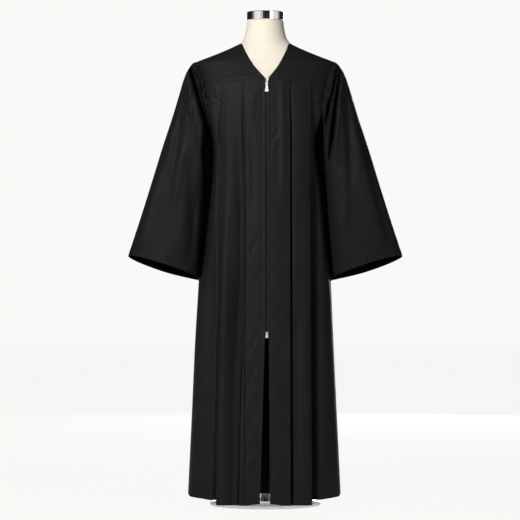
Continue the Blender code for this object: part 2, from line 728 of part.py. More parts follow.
def pull_tab(name, z, length, waist, flare, chrome):
    """A flat tab, bell shaped, whose eye goes round the slider's arch; its origin is on the pin."""
    levels = [
        (PIN_HALF, waist), (-PIN_HALF, waist + 0.0002), (-EYE_DEPTH, waist + 0.0001),
        (-EYE_DEPTH - 0.0014, waist - 0.0003), (-0.60 * length, waist + 0.25 * (flare - waist)),
        (-0.82 * length, waist + 0.70 * (flare - waist)), (-0.94 * length, flare), (-length, flare - 0.0012),
    ]
    mesh = bmesh.new()
    grid = []
    for height, half in levels:
        across = (-half, -EYE_HALF_WIDTH, EYE_HALF_WIDTH, half)
        grid.append([mesh.verts.new((x, -TAB_HALF_THICKNESS, height)) for x in across])
    cells = []
    for row, (above, below) in enumerate(zip(grid, grid[1:])):
        for i in range(3):
            if row == 1 and i == 1:
                continue
            cells.append(mesh.faces.new((above[i], above[i + 1], below[i + 1], below[i])))
    made = bmesh.ops.extrude_face_region(mesh, geom=cells)
    moved = [item for item in made["geom"] if isinstance(item, bmesh.types.BMVert)]
    bmesh.ops.translate(mesh, verts=moved, vec=(0, 2 * TAB_HALF_THICKNESS, 0))
    tab = finish(name, mesh, chrome)
    middle, lean = zip_place(z)
    rise = PLATE_INNER + FRONT_PLATE + PIVOT_RISE
    tab.location = middle + Matrix.Rotation(-lean, 3, "X") @ Vector((0, -rise, 0))
    tab.rotation_euler = (-lean, 0, 0)
    return tab


def main():
    remove_all()
    black = material("black_cloth", (0.021, 0.021, 0.022), 0.75)
    cream = material("cream_jersey", (0.86, 0.80, 0.70), 0.85)
    chrome = material("chrome", (0.80, 0.80, 0.80), 0.12, 1.0)
    black_paint = material("black_paint", (0.012, 0.012, 0.012), 0.55)
    clear_glass = material("clear_glass", (0.82, 0.90, 0.88), 0.05)
    tape = material("zip_tape", (0.018, 0.018, 0.019), 0.8)
    coil = material("zip_coil", (0.10, 0.10, 0.10), 0.4)

    form_torso(cream)
    stand(clear_glass, black_paint, chrome)
    yoke_front("yoke_front_right", -1, black)
    yoke_front("yoke_front_left", 1, black)
    yoke_back(black)
    front("front_right", -1, PLEATS_RIGHT, black)
    front("front_left", 1, PLEATS_LEFT, black)
    back(black)
    sleeve("sleeve_right", -1, black)
    sleeve("sleeve_left", 1, black)

    upper, lower = 1.2540, 0.5210
    beside = CHAIN_WIDTH / 2 + CLOSE
    zip_strip("zip_tape_left", beside, beside + TAPE_WIDTH, ZIP_TOP_Z - 0.0005, ZIP_END_Z, CLOTH, tape)
    zip_strip("zip_tape_right", -beside, -beside - TAPE_WIDTH, ZIP_TOP_Z - 0.0005, ZIP_END_Z, CLOTH, tape)
    half, over = CHAIN_WIDTH / 2, 0.0020
    zip_strip("zip_chain", -half, half, upper + over, lower - over, CHAIN_THICKNESS, coil)
    slider("zip_slider_upper", upper, True, chrome)
    slider("zip_slider_lower", lower, False, chrome)
    pull_tab("zip_pull_upper", upper, 0.0250, 0.0029, 0.0060, chrome)
    pull_tab("zip_pull_lower", lower, 0.0165, 0.0029, 0.0038, chrome)


main()
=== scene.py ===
import math

import bmesh
import bpy
import numpy as np
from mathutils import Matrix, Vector


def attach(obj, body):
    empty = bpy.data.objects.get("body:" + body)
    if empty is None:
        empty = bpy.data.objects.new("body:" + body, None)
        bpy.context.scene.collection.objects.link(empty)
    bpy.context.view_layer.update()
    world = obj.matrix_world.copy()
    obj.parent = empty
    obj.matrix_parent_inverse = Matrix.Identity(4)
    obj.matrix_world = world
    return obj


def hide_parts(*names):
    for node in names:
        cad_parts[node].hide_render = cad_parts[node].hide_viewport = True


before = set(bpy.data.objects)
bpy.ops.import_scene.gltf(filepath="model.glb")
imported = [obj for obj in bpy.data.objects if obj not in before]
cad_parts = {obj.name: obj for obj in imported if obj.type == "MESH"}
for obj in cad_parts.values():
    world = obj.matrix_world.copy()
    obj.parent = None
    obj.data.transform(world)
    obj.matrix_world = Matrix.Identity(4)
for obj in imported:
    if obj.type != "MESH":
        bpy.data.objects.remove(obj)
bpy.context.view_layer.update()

robeBody = "robe_on_stand"


# camera, light and floor

studio = {
    "cameraPlace": (-0.0159, -8.0, 0.733),
    "cameraLens": 184.6,
    "paper": (0.955, 0.947, 0.930),
    "fill": 0.07,
    "floorSize": 30.0,
    "floorLevel": 1.01,
    "shadowShare": 0.045,  # how much of the floor's own light shows against its flat colour
    "litFloor": (0.88, 0.875, 0.86),
    "sensor": 36.0,
    "reach": 60.0,
}
lamps = [
    {"name": "keyLamp", "place": (-1.5, -2.7, 2.6), "aim": (0.0, 0.0, 1.15), "size": 0.7, "watts": 101},
    {"name": "fillLamp", "place": (3.7, -4.3, 1.8), "aim": (0.0, 0.0, 0.8), "size": 1.8, "watts": 34},
    {"name": "backLamp", "place": (0.6, 4.6, 1.2), "aim": (0.0, 0.0, 0.8), "size": 2.4, "watts": 130},
]


def mathNode(tree, operation, first, second=None, third=None):
    node = tree.nodes.new("ShaderNodeMath")
    node.operation = operation
    for slot, value in enumerate((first, second, third)):
        if value is None:
            continue
        if isinstance(value, (int, float)):
            node.inputs[slot].default_value = value
        else:
            tree.links.new(value, node.inputs[slot])
    return node.outputs[0]


def mapRange(tree, value, start, end, low, high, kind="LINEAR"):
    node = tree.nodes.new("ShaderNodeMapRange")
    node.interpolation_type = kind
    for label, number in (("From Min", start), ("From Max", end), ("To Min", low), ("To Max", high)):
        node.inputs[label].default_value = number
    tree.links.new(value, node.inputs["Value"])
    return node.outputs[0]


def mixInto(tree, output, share, first, second):
    mix = tree.nodes.new("ShaderNodeMixShader")
    for slot, value in enumerate((share, first, second)):
        tree.links.new(value, mix.inputs[slot])
    tree.links.new(mix.outputs[0], tree.nodes.new(output).inputs[0])


def makeCamera():
    lens = bpy.data.cameras.new("camera")
    lens.lens = studio["cameraLens"]
    lens.sensor_width = studio["sensor"]
    lens.clip_end = studio["reach"]
    camera = bpy.data.objects.new("camera", lens)
    camera.location = studio["cameraPlace"]
    camera.rotation_euler = (math.radians(90), 0, 0)
    bpy.context.scene.collection.objects.link(camera)
    bpy.context.scene.camera = camera


def makeLamps():
    for lamp in lamps:
        light = bpy.data.lights.new(lamp["name"], "AREA")
        light.energy = lamp["watts"]
        light.shape = "DISK"
        light.size = lamp["size"]
        holder = bpy.data.objects.new(lamp["name"], light)
        holder.location = lamp["place"]
        holder.rotation_euler = (Vector(lamp["aim"]) - holder.location).to_track_quat("-Z", "Y").to_euler()
        bpy.context.scene.collection.objects.link(holder)


panels = {  # soft boxes that shiny surfaces mirror: degrees round from the front, half width, brightness
    "keyBox": (-50, 28, 1.0),
    "sideBox": (64, 27, 0.9),
    "backBox": (180, 24, 0.10),
    "dark": 0.018,
    "softEdge": 14,
    "lowest": -0.35,
    "highest": 0.85,
    "endEdge": 0.1,
}


def makeWorld():
    world = bpy.data.worlds.new("studio")
    bpy.context.scene.world = world
    world.use_nodes = True
    tree = world.node_tree
    nodes, links = tree.nodes, tree.links
    nodes.clear()
    path = nodes.new("ShaderNodeLightPath")
    mirrored = mathNode(tree, "MAXIMUM", path.outputs["Is Glossy Ray"], path.outputs["Is Transmission Ray"])
    seen = mathNode(tree, "MAXIMUM", path.outputs["Is Camera Ray"], mirrored)
    place = nodes.new("ShaderNodeTexCoord")
    split = nodes.new("ShaderNodeSeparateXYZ")
    links.new(place.outputs["Generated"], split.inputs[0])
    turn = mathNode(tree, "ARCTAN2", split.outputs[0], mathNode(tree, "MULTIPLY", split.outputs[1], -1.0))
    total = None
    for name in ("keyBox", "sideBox", "backBox"):
        middle, half, level = panels[name]
        away = turn
        if name == "backBox":
            away = mathNode(tree, "ABSOLUTE", turn)
        away = mathNode(tree, "ABSOLUTE", mathNode(tree, "SUBTRACT", away, math.radians(middle)))
        edge = math.radians(half - panels["softEdge"]), math.radians(half + panels["softEdge"])
        glow = mapRange(tree, away, *edge, level, 0.0, "SMOOTHSTEP")
        total = glow if total is None else mathNode(tree, "ADD", total, glow)
    for at, low, high in ((panels["lowest"], 0.0, 1.0), (panels["highest"], 1.0, 0.0)):
        edge = at - panels["endEdge"], at + panels["endEdge"]
        fade = mapRange(tree, split.outputs[2], *edge, low, high, "SMOOTHSTEP")
        total = mathNode(tree, "MULTIPLY", total, fade)
    boxes = mathNode(tree, "MAXIMUM", total, panels["dark"])
    strength = mathNode(tree, "MAXIMUM", path.outputs["Is Camera Ray"], boxes)
    ambient = nodes.new("ShaderNodeBackground")
    ambient.inputs["Color"].default_value = (1, 1, 1, 1)
    ambient.inputs["Strength"].default_value = studio["fill"]
    paper = nodes.new("ShaderNodeBackground")
    paper.inputs["Color"].default_value = (*studio["paper"], 1)
    links.new(strength, paper.inputs["Strength"])
    mixInto(tree, "ShaderNodeOutputWorld", seen, ambient.outputs[0], paper.outputs[0])


def makeFloor():
    mesh = bpy.data.meshes.new("floor")
    half = studio["floorSize"] / 2
    corners = [(-half, -half, 0), (half, -half, 0), (half, half, 0), (-half, half, 0)]
    mesh.from_pydata(corners, [], [(0, 1, 2, 3)])
    floor = bpy.data.objects.new("floor", mesh)
    bpy.context.scene.collection.objects.link(floor)
    finish = bpy.data.materials.new("floorPaper")
    finish.use_nodes = True
    nodes = finish.node_tree.nodes
    nodes.clear()
    path = nodes.new("ShaderNodeLightPath")
    flat = nodes.new("ShaderNodeEmission")
    flat.inputs["Color"].default_value = (*studio["paper"], 1)
    flat.inputs["Strength"].default_value = studio["floorLevel"]
    lit = nodes.new("ShaderNodeBsdfDiffuse")
    lit.inputs["Color"].default_value = (*studio["litFloor"], 1)
    sightRays = path.outputs["Is Camera Ray"], path.outputs["Is Transmission Ray"]
    straight = mathNode(finish.node_tree, "MAXIMUM", *sightRays)
    straight = mathNode(finish.node_tree, "MULTIPLY", straight, 1 - studio["shadowShare"])
    mixInto(finish.node_tree, "ShaderNodeOutputMaterial", straight, lit.outputs[0], flat.outputs[0])
    mesh.materials.append(finish)


# the robe's form, from the same sizes as the frame

bodyShape = {  # half its width, depth in front and behind, roundness, and the spacing of a pleat's layers
    "height": [0.000, 0.250, 0.500, 0.660, 0.877, 0.970, 1.060, 1.120,
               1.190, 1.260, 1.290, 1.3255, 1.355, 1.384, 1.400],
    "side": [0.2270, 0.2150, 0.2035, 0.1966, 0.1862, 0.1815, 0.1780, 0.1890,
             0.2000, 0.2050, 0.2085, 0.2105, 0.1400, 0.0700, 0.0650],
    "front": [0.218, 0.202, 0.185, 0.175, 0.160, 0.154, 0.149, 0.145,
              0.139, 0.126, 0.113, 0.094, 0.079, 0.066, 0.061],
    "back": [0.215, 0.196, 0.175, 0.162, 0.142, 0.134, 0.128, 0.124,
             0.118, 0.111, 0.107, 0.099, 0.087, 0.072, 0.065],
    "power": [2.35, 2.40, 2.40, 2.40, 2.40, 2.40, 2.40, 2.35,
              2.25, 2.10, 2.00, 2.00, 2.00, 2.00, 2.00],
    "layer": [0.0050, 0.0043, 0.0034, 0.0028, 0.0021, 0.0018, 0.0017, 0.0016,
              0.0015, 0.0014, 0.0013, 0.0013, 0.0013, 0.0013, 0.0013],
}
garment = {
    "cloth": 0.0010,
    "shoulderTip": (0.2105, 1.3255),
    "underarm": (0.178, 1.060),
    "armholeBow": 0.024,
    "neckPoint": (0.070, 1.384),
    "neckDrop": 1.2678,
    "backNeckRise": 0.010,
    "ridgeSag": 0.007,
    "shoulderRound": 0.006,
    "shoulderFrom": 1.24,  # height from which the shoulder's ridge rounds the side
    "yokeSeam": 1.2591,
    "seamGap": 0.0004,
    "rightFuller": 0.026,
    "zipX": 0.004,
    "zipHalfGap": 0.0055,
    "zipEnd": 0.5050,
    "formSeat": 0.0017,
}


# smooth curve through one column, read at many heights
def through(columns, key, at):
    places, values = np.array(columns["height"]), np.array(columns[key])
    at = np.clip(np.asarray(at, float), places[0], places[-1])
    steps = np.diff(values) / np.diff(places)
    slopes = np.zeros(len(values))
    slopes[0], slopes[-1] = steps[0], steps[-1]
    same = steps[:-1] * steps[1:] > 0
    both = np.where(same, steps[:-1] + steps[1:], 1.0)
    slopes[1:-1] = np.where(same, 2 * steps[:-1] * steps[1:] / both, 0.0)
    i = np.clip(np.searchsorted(places, at, side="right") - 1, 0, len(places) - 2)
    span = places[i + 1] - places[i]
    t = (at - places[i]) / span
    return (
        values[i] * (1 + 2 * t) * (1 - t) ** 2 + values[i + 1] * t * t * (3 - 2 * t)
        + slopes[i] * span * t * (1 - t) ** 2 - slopes[i + 1] * span * t * t * (1 - t)
    )


def signedPower(value, power):
    return np.sign(value) * np.abs(value) ** power


def smooth(value):
    value = np.clip(value, 0.0, 1.0)
    return value * value * (3 - 2 * value)


def sideAt(z):
    tipX, tipZ = garment["shoulderTip"]
    neckX, neckZ = garment["neckPoint"]
    ridge = (neckZ - z) / (neckZ - tipZ)
    line = neckX + ridge * (tipX - neckX) - garment["ridgeSag"] * 4 * ridge * (1 - np.minimum(ridge, 1))
    below = through(bodyShape, "side", np.minimum(z, tipZ))
    soft = garment["shoulderRound"]
    rounded = -soft * np.log(np.exp(-below / soft) + np.exp(-line / soft))
    above = np.where(ridge > 0, rounded, through(bodyShape, "side", z))
    return np.where(z <= garment["shoulderFrom"], below, above)


def depthAt(x, z, behind=False):
    power = through(bodyShape, "power", z)
    share = np.minimum(np.abs(x) / sideAt(z), 1.0)
    return through(bodyShape, "back" if behind else "front", z) * (1 - share**power) ** (1 / power)


def angleAt(x, z):
    share = np.minimum(np.abs(x) / sideAt(z), 1.0)
    return np.sign(x) * np.arcsin(share ** (through(bodyShape, "power", z) / 2))


# points round the robe's body, moved out along its own plan
def bodyPoint(angle, z, out, behind=False):
    angle, z, out = np.broadcast_arrays(angle, z, out)
    power, side = through(bodyShape, "power", z), sideAt(z)
    reach = through(bodyShape, "back" if behind else "front", z)
    x = signedPower(np.sin(angle), 2 / power)
    y = np.abs(np.cos(angle)) ** (2 / power)
    across = signedPower(x, power - 1) / side
    ahead = y ** (power - 1) / reach
    length = np.hypot(across, ahead)
    sign = 1 if behind else -1
    return np.stack([side * x + out * across / length, sign * (reach * y + out * ahead / length), z], -1)


# x and z of the armhole's seam, from the shoulder tip at 0 to the underarm at 180
def armhole(degrees):
    turn = np.radians(degrees)
    (tipX, tipZ), (lowX, lowZ) = garment["shoulderTip"], garment["underarm"]
    x = (tipX + lowX) / 2 + (tipX - lowX) / 2 * np.cos(turn) - garment["armholeBow"] * np.abs(np.sin(turn))
    return x, (tipZ + lowZ) / 2 + (tipZ - lowZ) / 2 * np.cos(turn)


armholeTurns = np.linspace(180, 0, 181)
armholeX, armholeZ = armhole(armholeTurns)


# where a body panel ends: on the armhole, and below it on the side seam
def sideAngle(z):
    onHole = angleAt(np.interp(z, armholeZ, armholeX) - garment["seamGap"], z)
    return np.where(z <= garment["underarm"][1], math.pi / 2, onHole)


# places from 0 to 1, closer together at both ends
def bunched(count, tightness):
    even = np.linspace(0, 1, count)
    return even - tightness * np.sin(2 * math.pi * even) / (2 * math.pi)


# soft ridges and troughs: each runs between two places, with its bow, width and depth
def creased(table, across, down):
    total = np.zeros(np.broadcast(across, down).shape)
    for x0, z0, x1, z1, bow, width, depth in table:
        length = math.hypot(x1 - x0, z1 - z0)
        ux, uz = (x1 - x0) / length, (z1 - z0) / length
        run = ((across - x0) * ux + (down - z0) * uz) / length
        off = (across - x0) * -uz + (down - z0) * ux
        inside = np.clip(run, 0, 1)
        off = off - bow * 4 * inside * (1 - inside)
        fade = smooth(run / 0.3 + 0.15) * smooth((1 - run) / 0.45 + 0.15)
        total += depth * np.exp(-((off / width) ** 2)) * fade
    return total


# a mesh from points and quads, its faces pointing out of the solid, with flat cloth places as its UVs
def makeMesh(name, points, quads, places=None):
    corners = points[quads]
    volume = np.einsum("ij,ij->i", np.cross(corners[:, 0], corners[:, 1]), corners[:, 2]).sum()
    volume += np.einsum("ij,ij->i", np.cross(corners[:, 0], corners[:, 2]), corners[:, 3]).sum()
    if volume < 0:
        quads = quads[:, ::-1]
        places = None if places is None else places[:, ::-1]
    mesh = bpy.data.meshes.new(name)
    mesh.vertices.add(len(points))
    mesh.vertices.foreach_set("co", points.astype(np.float32).ravel())
    mesh.loops.add(quads.size)
    mesh.loops.foreach_set("vertex_index", quads.astype(np.int32).ravel())
    mesh.polygons.add(len(quads))
    mesh.polygons.foreach_set("loop_start", np.arange(0, quads.size, 4, dtype=np.int32))
    mesh.update(calc_edges=True)
    mesh.shade_smooth()
    if places is not None:
        mesh.uv_layers.new(name="cut").uv.foreach_set("vector", places.astype(np.float32).ravel())
    made = bpy.data.objects.new(name, mesh)
    bpy.context.scene.collection.objects.link(made)
    return made


# unit normals of a grid of points, from its steps across and down
def gridNormals(grid, wrap):
    if wrap:
        across = np.roll(grid, -1, 1) - np.roll(grid, 1, 1)
    else:
        across = np.gradient(grid, axis=1)
    down = np.gradient(grid, axis=0)
    normal = np.cross(across, down)
    return normal / np.maximum(np.linalg.norm(normal, axis=2, keepdims=True), 1e-12)


def quadsOf(table):
    return np.stack([table[:-1, :-1], table[:-1, 1:], table[1:, 1:], table[1:, :-1]], 2)


# a closed thin shell round a grid of points; returns the piece, its outer points and normals
def clothShell(name, grid, finish, thickness=None, wrap=False, outward=1):
    thickness = thickness or garment["cloth"]
    normal = gridNormals(grid, wrap) * outward
    outer, inner = grid + normal * thickness / 2, grid - normal * thickness / 2
    rows, columns = grid.shape[:2]
    whole = np.concatenate([grid, grid[:, :1]], 1) if wrap else grid
    across = np.linalg.norm(np.diff(whole, axis=1), axis=2)
    down = np.linalg.norm(np.diff(whole, axis=0), axis=2)
    u = np.concatenate([np.zeros((rows, 1)), np.cumsum(across, 1)], 1)
    v = np.concatenate([np.zeros((1, whole.shape[1])), np.cumsum(down, 0)], 0)
    uv = np.stack([u - u.mean(1, keepdims=True), v], -1)
    index = np.arange(rows * columns).reshape(rows, columns)
    index = np.concatenate([index, index[:, :1]], 1) if wrap else index

    step = rows * columns
    face = quadsOf(index).reshape(-1, 4)
    faceUv = quadsOf(uv).reshape(-1, 4, 2)
    quads, places = [face, face[:, ::-1] + step], [faceUv, faceUv[:, ::-1]]
    for row, flip in ((0, 1), (-1, -1)):
        a, b = index[row, :-1], index[row, 1:]
        ua, ub = uv[row, :-1], uv[row, 1:]
        quads.append(np.stack([a + step, b + step, b, a], -1)[:, ::flip])
        places.append(np.stack([ua, ub, ub, ua], 1)[:, ::flip])
    if not wrap:
        for column, flip in ((0, -1), (-1, 1)):
            a, b = index[:-1, column], index[1:, column]
            ua, ub = uv[:-1, column], uv[1:, column]
            quads.append(np.stack([a + step, b + step, b, a], -1)[:, ::flip])
            places.append(np.stack([ua, ub, ub, ua], 1)[:, ::flip])
    points = np.concatenate([outer.reshape(-1, 3), inner.reshape(-1, 3)])
    piece = makeMesh(name, points, np.concatenate(quads), np.concatenate(places))
    # mark the inner faces, which the cloth's finish colours with painted shade far darker than the outside
    insideShadeMask = piece.data.attributes.new("paintedInsideShade", "FLOAT", "POINT")
    insideShadeMask.data.foreach_set("value", np.repeat((0.0, 1.0), rows * columns).astype(np.float32))
    piece.data.set_sharp_from_angle(angle=math.radians(55))
    piece.data.materials.append(finish)
    sides = np.diff(whole, axis=1)[:-1], np.diff(whole, axis=0)[:, :-1]
    area = np.linalg.norm(np.cross(*sides), axis=2).sum()
    print("made", name, "area", round(float(area), 3), "faces", len(piece.data.polygons))
    return piece, outer, normal


# how far each point of a grid lies from one of its borders, along the cloth
def fromBorder(grid, border):
    axis = 1 if border in ("first", "last") else 0
    steps = np.linalg.norm(np.diff(grid, axis=axis), axis=2)
    zero = np.zeros_like(np.take(steps, [0], axis))
    away = np.concatenate([zero, np.cumsum(steps, axis)], axis)
    return away if border in ("first", "top") else np.take(away, [-1], axis) - away


stitch = {"pitch": 0.0034, "length": 0.0027, "thick": 0.00034, "grooveWidth": 0.0018}


# press a groove along each stitched line, with small uneven puckers beside it
def sewn(grid, rows, wrap=False, outward=1):
    normal = gridNormals(grid, wrap) * outward
    for border, distance, groove, pucker, reach, period, slant in rows:
        away = fromBorder(grid, border)
        other = fromBorder(grid, "top" if border in ("first", "last") else "first")
        press = -groove * np.exp(-(((away - distance) / stitch["grooveWidth"]) ** 2))
        along = other + slant * (away - distance)
        uneven = 0.6 + 0.4 * np.sin(along * 2 * math.pi / (period * 6.3) + 1.0)
        wave = np.sin(along * 2 * math.pi / period + 2.2 * np.sin(along * 2 * math.pi / (period * 4.7)))
        ripple = pucker * uneven * wave * np.exp(-(((away - distance) / reach) ** 2))
        press = press + ripple * smooth(away / 0.002)
        grid = grid + normal * press[..., None]
    return grid


# the points and normals that lie at one distance from a border of a piece
def lineAt(outer, normal, border, distance):
    away = fromBorder(outer, border)
    if border in ("top", "bottom"):
        away, outer, normal = away.T, outer.transpose(1, 0, 2), normal.transpose(1, 0, 2)
    if border in ("last", "bottom"):
        away, outer, normal = away[:, ::-1], outer[:, ::-1], normal[:, ::-1]
    points, normals = [], []
    for row in range(len(outer)):
        points.append([np.interp(distance, away[row], outer[row, :, i]) for i in range(3)])
        normals.append([np.interp(distance, away[row], normal[row, :, i]) for i in range(3)])
    return np.array(points), np.array(normals)


# rows of separate stitches that lie on the cloth, as one mesh
def stitches(name, lines, finish):
    points, quads = [], []
    ends = np.array([(-0.5, 0.35), (-0.22, 1.0), (0.22, 1.0), (0.5, 0.35)])
    ring = [(math.cos(i * math.pi / 4), math.sin(i * math.pi / 4)) for i in (1, 3, 5, 7)]
    face = []
    for low in (0, 4, 8):
        for i in range(4):
            after = (i + 1) % 4
            face.append((low + i, low + after, low + 4 + after, low + 4 + i))
    face = np.array(face + [(3, 2, 1, 0), (12, 13, 14, 15)])
    for line, normal in lines:
        run = np.concatenate([[0], np.cumsum(np.linalg.norm(np.diff(line, axis=0), axis=1))])
        at = np.arange(stitch["pitch"], run[-1] - stitch["pitch"] / 2, stitch["pitch"])
        middle = np.stack([np.interp(at, run, line[:, i]) for i in range(3)], 1)
        ahead = np.stack([np.interp(at + 0.0005, run, line[:, i]) for i in range(3)], 1) - middle
        ahead /= np.maximum(np.linalg.norm(ahead, axis=1, keepdims=True), 1e-9)
        up = np.stack([np.interp(at, run, normal[:, i]) for i in range(3)], 1)
        up -= ahead * (up * ahead).sum(1, keepdims=True)
        up /= np.maximum(np.linalg.norm(up, axis=1, keepdims=True), 1e-9)
        side = np.cross(ahead, up)
        for i in range(len(at)):
            corners = []
            for share, swell in ends:
                sag = stitch["thick"] * (0.35 * swell - 0.1)
                centre = middle[i] + ahead[i] * share * stitch["length"] + up[i] * sag
                for a, b in ring:
                    corners.append(centre + (side[i] * a + up[i] * b * 0.8) * stitch["thick"] * swell)
            quads.append(face + len(points) * 16)
            points.append(np.array(corners))
    piece = makeMesh(name, np.concatenate(points), np.concatenate(quads))
    piece.data.materials.append(finish)
    print("made", name, len(points), "stitches")
    return piece


# the two fronts, with their knife pleats

frontShape = {
    "rows": 285,
    # heights where the side falls back under the arm, by how much, and from where
    "sideHeight": [0.640, 0.690, 0.760, 0.875, 0.952, 1.008, 1.058, 1.100, 1.137, 1.190],
    "sideFall": [0.0, 0.80, 0.88, 0.90, 0.92, 0.94, 0.96, 0.93, 0.6, 0.0],
    "sideFrom": {-1: [0.184, 0.173, 0.164, 0.153, 0.147, 0.143, 0.142, 0.147, 0.156, 0.170],
                 1: [0.186, 0.178, 0.170, 0.162, 0.156, 0.148, 0.142, 0.142, 0.155, 0.170]},
    "sideOver": 0.020,
    "seamHold": 0.07,  # radians short of its side edge where creases die away
    "bottomRise": 0.25,  # height over which the hem's own line takes over from level rows
    "pleatMiddle": 0.66,
    "hemEdge": 0.0210,
    "hemPleat": 0.0155,
    "hemCorner": 0.0140,
    "hemUnder": 0.0250,
    "hemSide": 0.0360,
    "seamRise": 0.0075,  # the yoke seam climbs this much from the armhole to the zip
    "flutes": [(0.30, 0.11, -0.0050), (0.62, 0.12, 0.0060)],  # place, width, depth at the hem
    "fluteGrowth": 1.6,
    "edgeAtHem": {1: 0.0132, -1: 0.0158},
}
pleats = {  # folded edge at the yoke, halfway and at the hem, how far it lies over, and the shade beyond it
    -1: [(0.0645, 0.0655, 0.0780, 0.024, (0.006, 0.008, 0.022), 0.0042),
         (0.1295, 0.1310, 0.1430, 0.022, (0.010, 0.016, 0.020), 0.0066)],
    1: [(0.0725, 0.0730, 0.0745, 0.024, (0.014, 0.024, 0.030), 0.0068),
        (0.1350, 0.1360, 0.1385, 0.022, (0.014, 0.026, 0.030), 0.0150)],
}
frontCreases = {  # across and height at each end, bow, width, depth
    -1: [
        (0.16, 1.226, 0.13, 1.198, 0.003, 0.0045, -0.0022),
        (0.138, 1.24, 0.127, 1.215, 0.001, 0.0035, -0.0014),
        (0.152, 1.245, 0.134, 1.222, 0.002, 0.004, 0.0014), (0.15, 1.205, 0.14, 1.15, 0.002, 0.006, -0.002),
        (0.108, 1.25, 0.106, 0.88, 0.002, 0.013, 0.003), (0.078, 1.13, 0.088, 0.7, 0.0, 0.013, -0.005),
        (0.086, 0.8, 0.1, -0.15, 0.003, 0.016, -0.018), (0.118, 0.9, 0.128, 0.0, 0.0, 0.012, 0.004),
        (0.155, 0.82, 0.163, 0.0, 0.0, 0.012, -0.006), (0.18, 0.9, 0.196, 0.0, 0.0, 0.014, 0.005),
        (0.03, 1.24, 0.04, 1.13, 0.004, 0.01, 0.0022), (0.044, 1.12, 0.04, 0.84, -0.004, 0.009, -0.0022),
        (0.022, 0.8, 0.044, 0.74, 0.003, 0.006, -0.0016), (0.014, 0.715, 0.04, 0.68, 0.002, 0.0045, 0.0014),
        (0.018, 0.52, 0.045, 0.455, 0.004, 0.006, -0.0012), (0.02, 0.49, 0.05, 0.425, 0.004, 0.007, 0.001),
        (0.022, 0.43, 0.052, 0.35, 0.004, 0.008, -0.0012), (0.024, 0.36, 0.054, 0.29, 0.003, 0.007, 0.001),
        (0.024, 0.3, 0.06, 0.2, 0.004, 0.01, -0.0014), (0.022, 0.17, 0.062, 0.11, 0.002, 0.008, 0.0018),
        (0.012, 1.255, 0.042, 1.235, -0.002, 0.0035, -0.001),
        (0.014, 1.25, 0.03, 1.222, -0.002, 0.004, 0.001), (0.06, 1.3, 0.0605, -0.3, 0.0, 0.0017, -0.0035),
        (0.0015, 1.6, 0.0015, 0.3, 0.0, 0.0036, 0.0017), (0.072, 1.06, 0.08, 0.3, 0.0, 0.012, -0.012),
        (0.113, 0.98, 0.118, 0.3, 0.0, 0.01, 0.005),
    ],
    1: [
        (0.04, 1.13, 0.012, 1.078, 0.005, 0.006, -0.0012), (0.048, 1.12, 0.02, 1.064, 0.004, 0.007, 0.0008),
        (0.034, 1.09, 0.013, 1.04, 0.003, 0.004, 0.0008), (0.052, 1.03, 0.03, 0.9, 0.006, 0.008, 0.001),
        (0.034, 0.876, 0.011, 0.846, 0.003, 0.0026, -0.0006),
        (0.036, 0.866, 0.011, 0.834, 0.003, 0.0026, 0.0006),
        (0.032, 0.85, 0.011, 0.822, 0.002, 0.0026, -0.0007),
        (0.034, 0.838, 0.011, 0.81, 0.002, 0.0026, 0.0006),
        (0.03, 0.824, 0.011, 0.798, 0.002, 0.0026, -0.0006),
        (0.036, 0.812, 0.011, 0.782, 0.001, 0.0028, 0.0007),
        (0.046, 0.74, 0.014, 0.7, 0.002, 0.0045, -0.0008), (0.04, 0.68, 0.014, 0.64, 0.002, 0.0045, 0.0008),
        (0.048, 1.3, 0.052, 0.88, 0.002, 0.01, 0.0045), (0.05, 0.6, 0.016, 0.54, 0.002, 0.006, -0.0014),
        (0.03, 0.52, 0.052, 0.42, 0.003, 0.009, -0.0018), (0.028, 0.38, 0.05, 0.24, 0.003, 0.011, 0.0018),
        (0.105, 1.24, 0.104, 0.9, 0.0, 0.012, 0.0016), (0.118, 0.7, 0.124, 0.0, 0.0, 0.012, 0.003),
        (0.094, 0.66, 0.096, 0.0, 0.0, 0.012, -0.004), (0.154, 1.21, 0.152, -0.1, 0.0, 0.0125, -0.016),
        (0.178, 0.6, 0.186, 0.0, 0.0, 0.013, 0.004), (0.15, 1.245, 0.14, 1.215, 0.001, 0.004, -0.0014),
        (0.165, 1.235, 0.15, 1.19, 0.002, 0.005, 0.0018), (0.012, 1.25, 0.04, 1.24, 0.001, 0.0035, -0.001),
        (0.0062, 1.6, 0.0062, 0.3, 0.0, 0.003, 0.0016),
    ],
}


# how far the yoke seam and the cloth beside it stand above a level line
def seamClimb(x, z):
    seam = garment["yokeSeam"]
    near = np.where(z > seam, smooth((1.315 - z) / (1.315 - seam)), smooth((z - 1.13) / (seam - 1.13)))
    return frontShape["seamRise"] * np.cos(np.clip(np.abs(x) / 0.180, 0, 1) * math.pi / 2) * near


def fluteDepth(flutes, place, z):
    seam = garment["yokeSeam"]
    grown = np.clip((seam - z) / seam, 0, 1) ** frontShape["fluteGrowth"]
    return grown * sum(depth * np.exp(-(((place - at) / width) ** 2)) for at, width, depth in flutes)


def frontEdge(side, z):
    beside = garment["zipHalfGap"] + side * garment["zipX"]
    below = np.clip((garment["zipEnd"] - z) / (garment["zipEnd"] - frontShape["hemEdge"]), 0, 1)
    return beside + (frontShape["edgeAtHem"][side] - beside) * below


# the wearer's right hangs a little wider towards the hem
def fuller(grid):
    low = smooth((0.74 - grid[..., 2]) / 0.30) * smooth(-grid[..., 0] / 0.20)
    grid[..., 0] *= 1 + garment["rightFuller"] * low
    return grid


# the share of its depth that a front keeps where it falls back under the arm
def underArm(side, x, z):
    fall = np.interp(z, frontShape["sideHeight"], frontShape["sideFall"])
    begin = np.interp(z, frontShape["sideHeight"], frontShape["sideFrom"][side])
    return 1 - fall * smooth((x - begin) / frontShape["sideOver"])


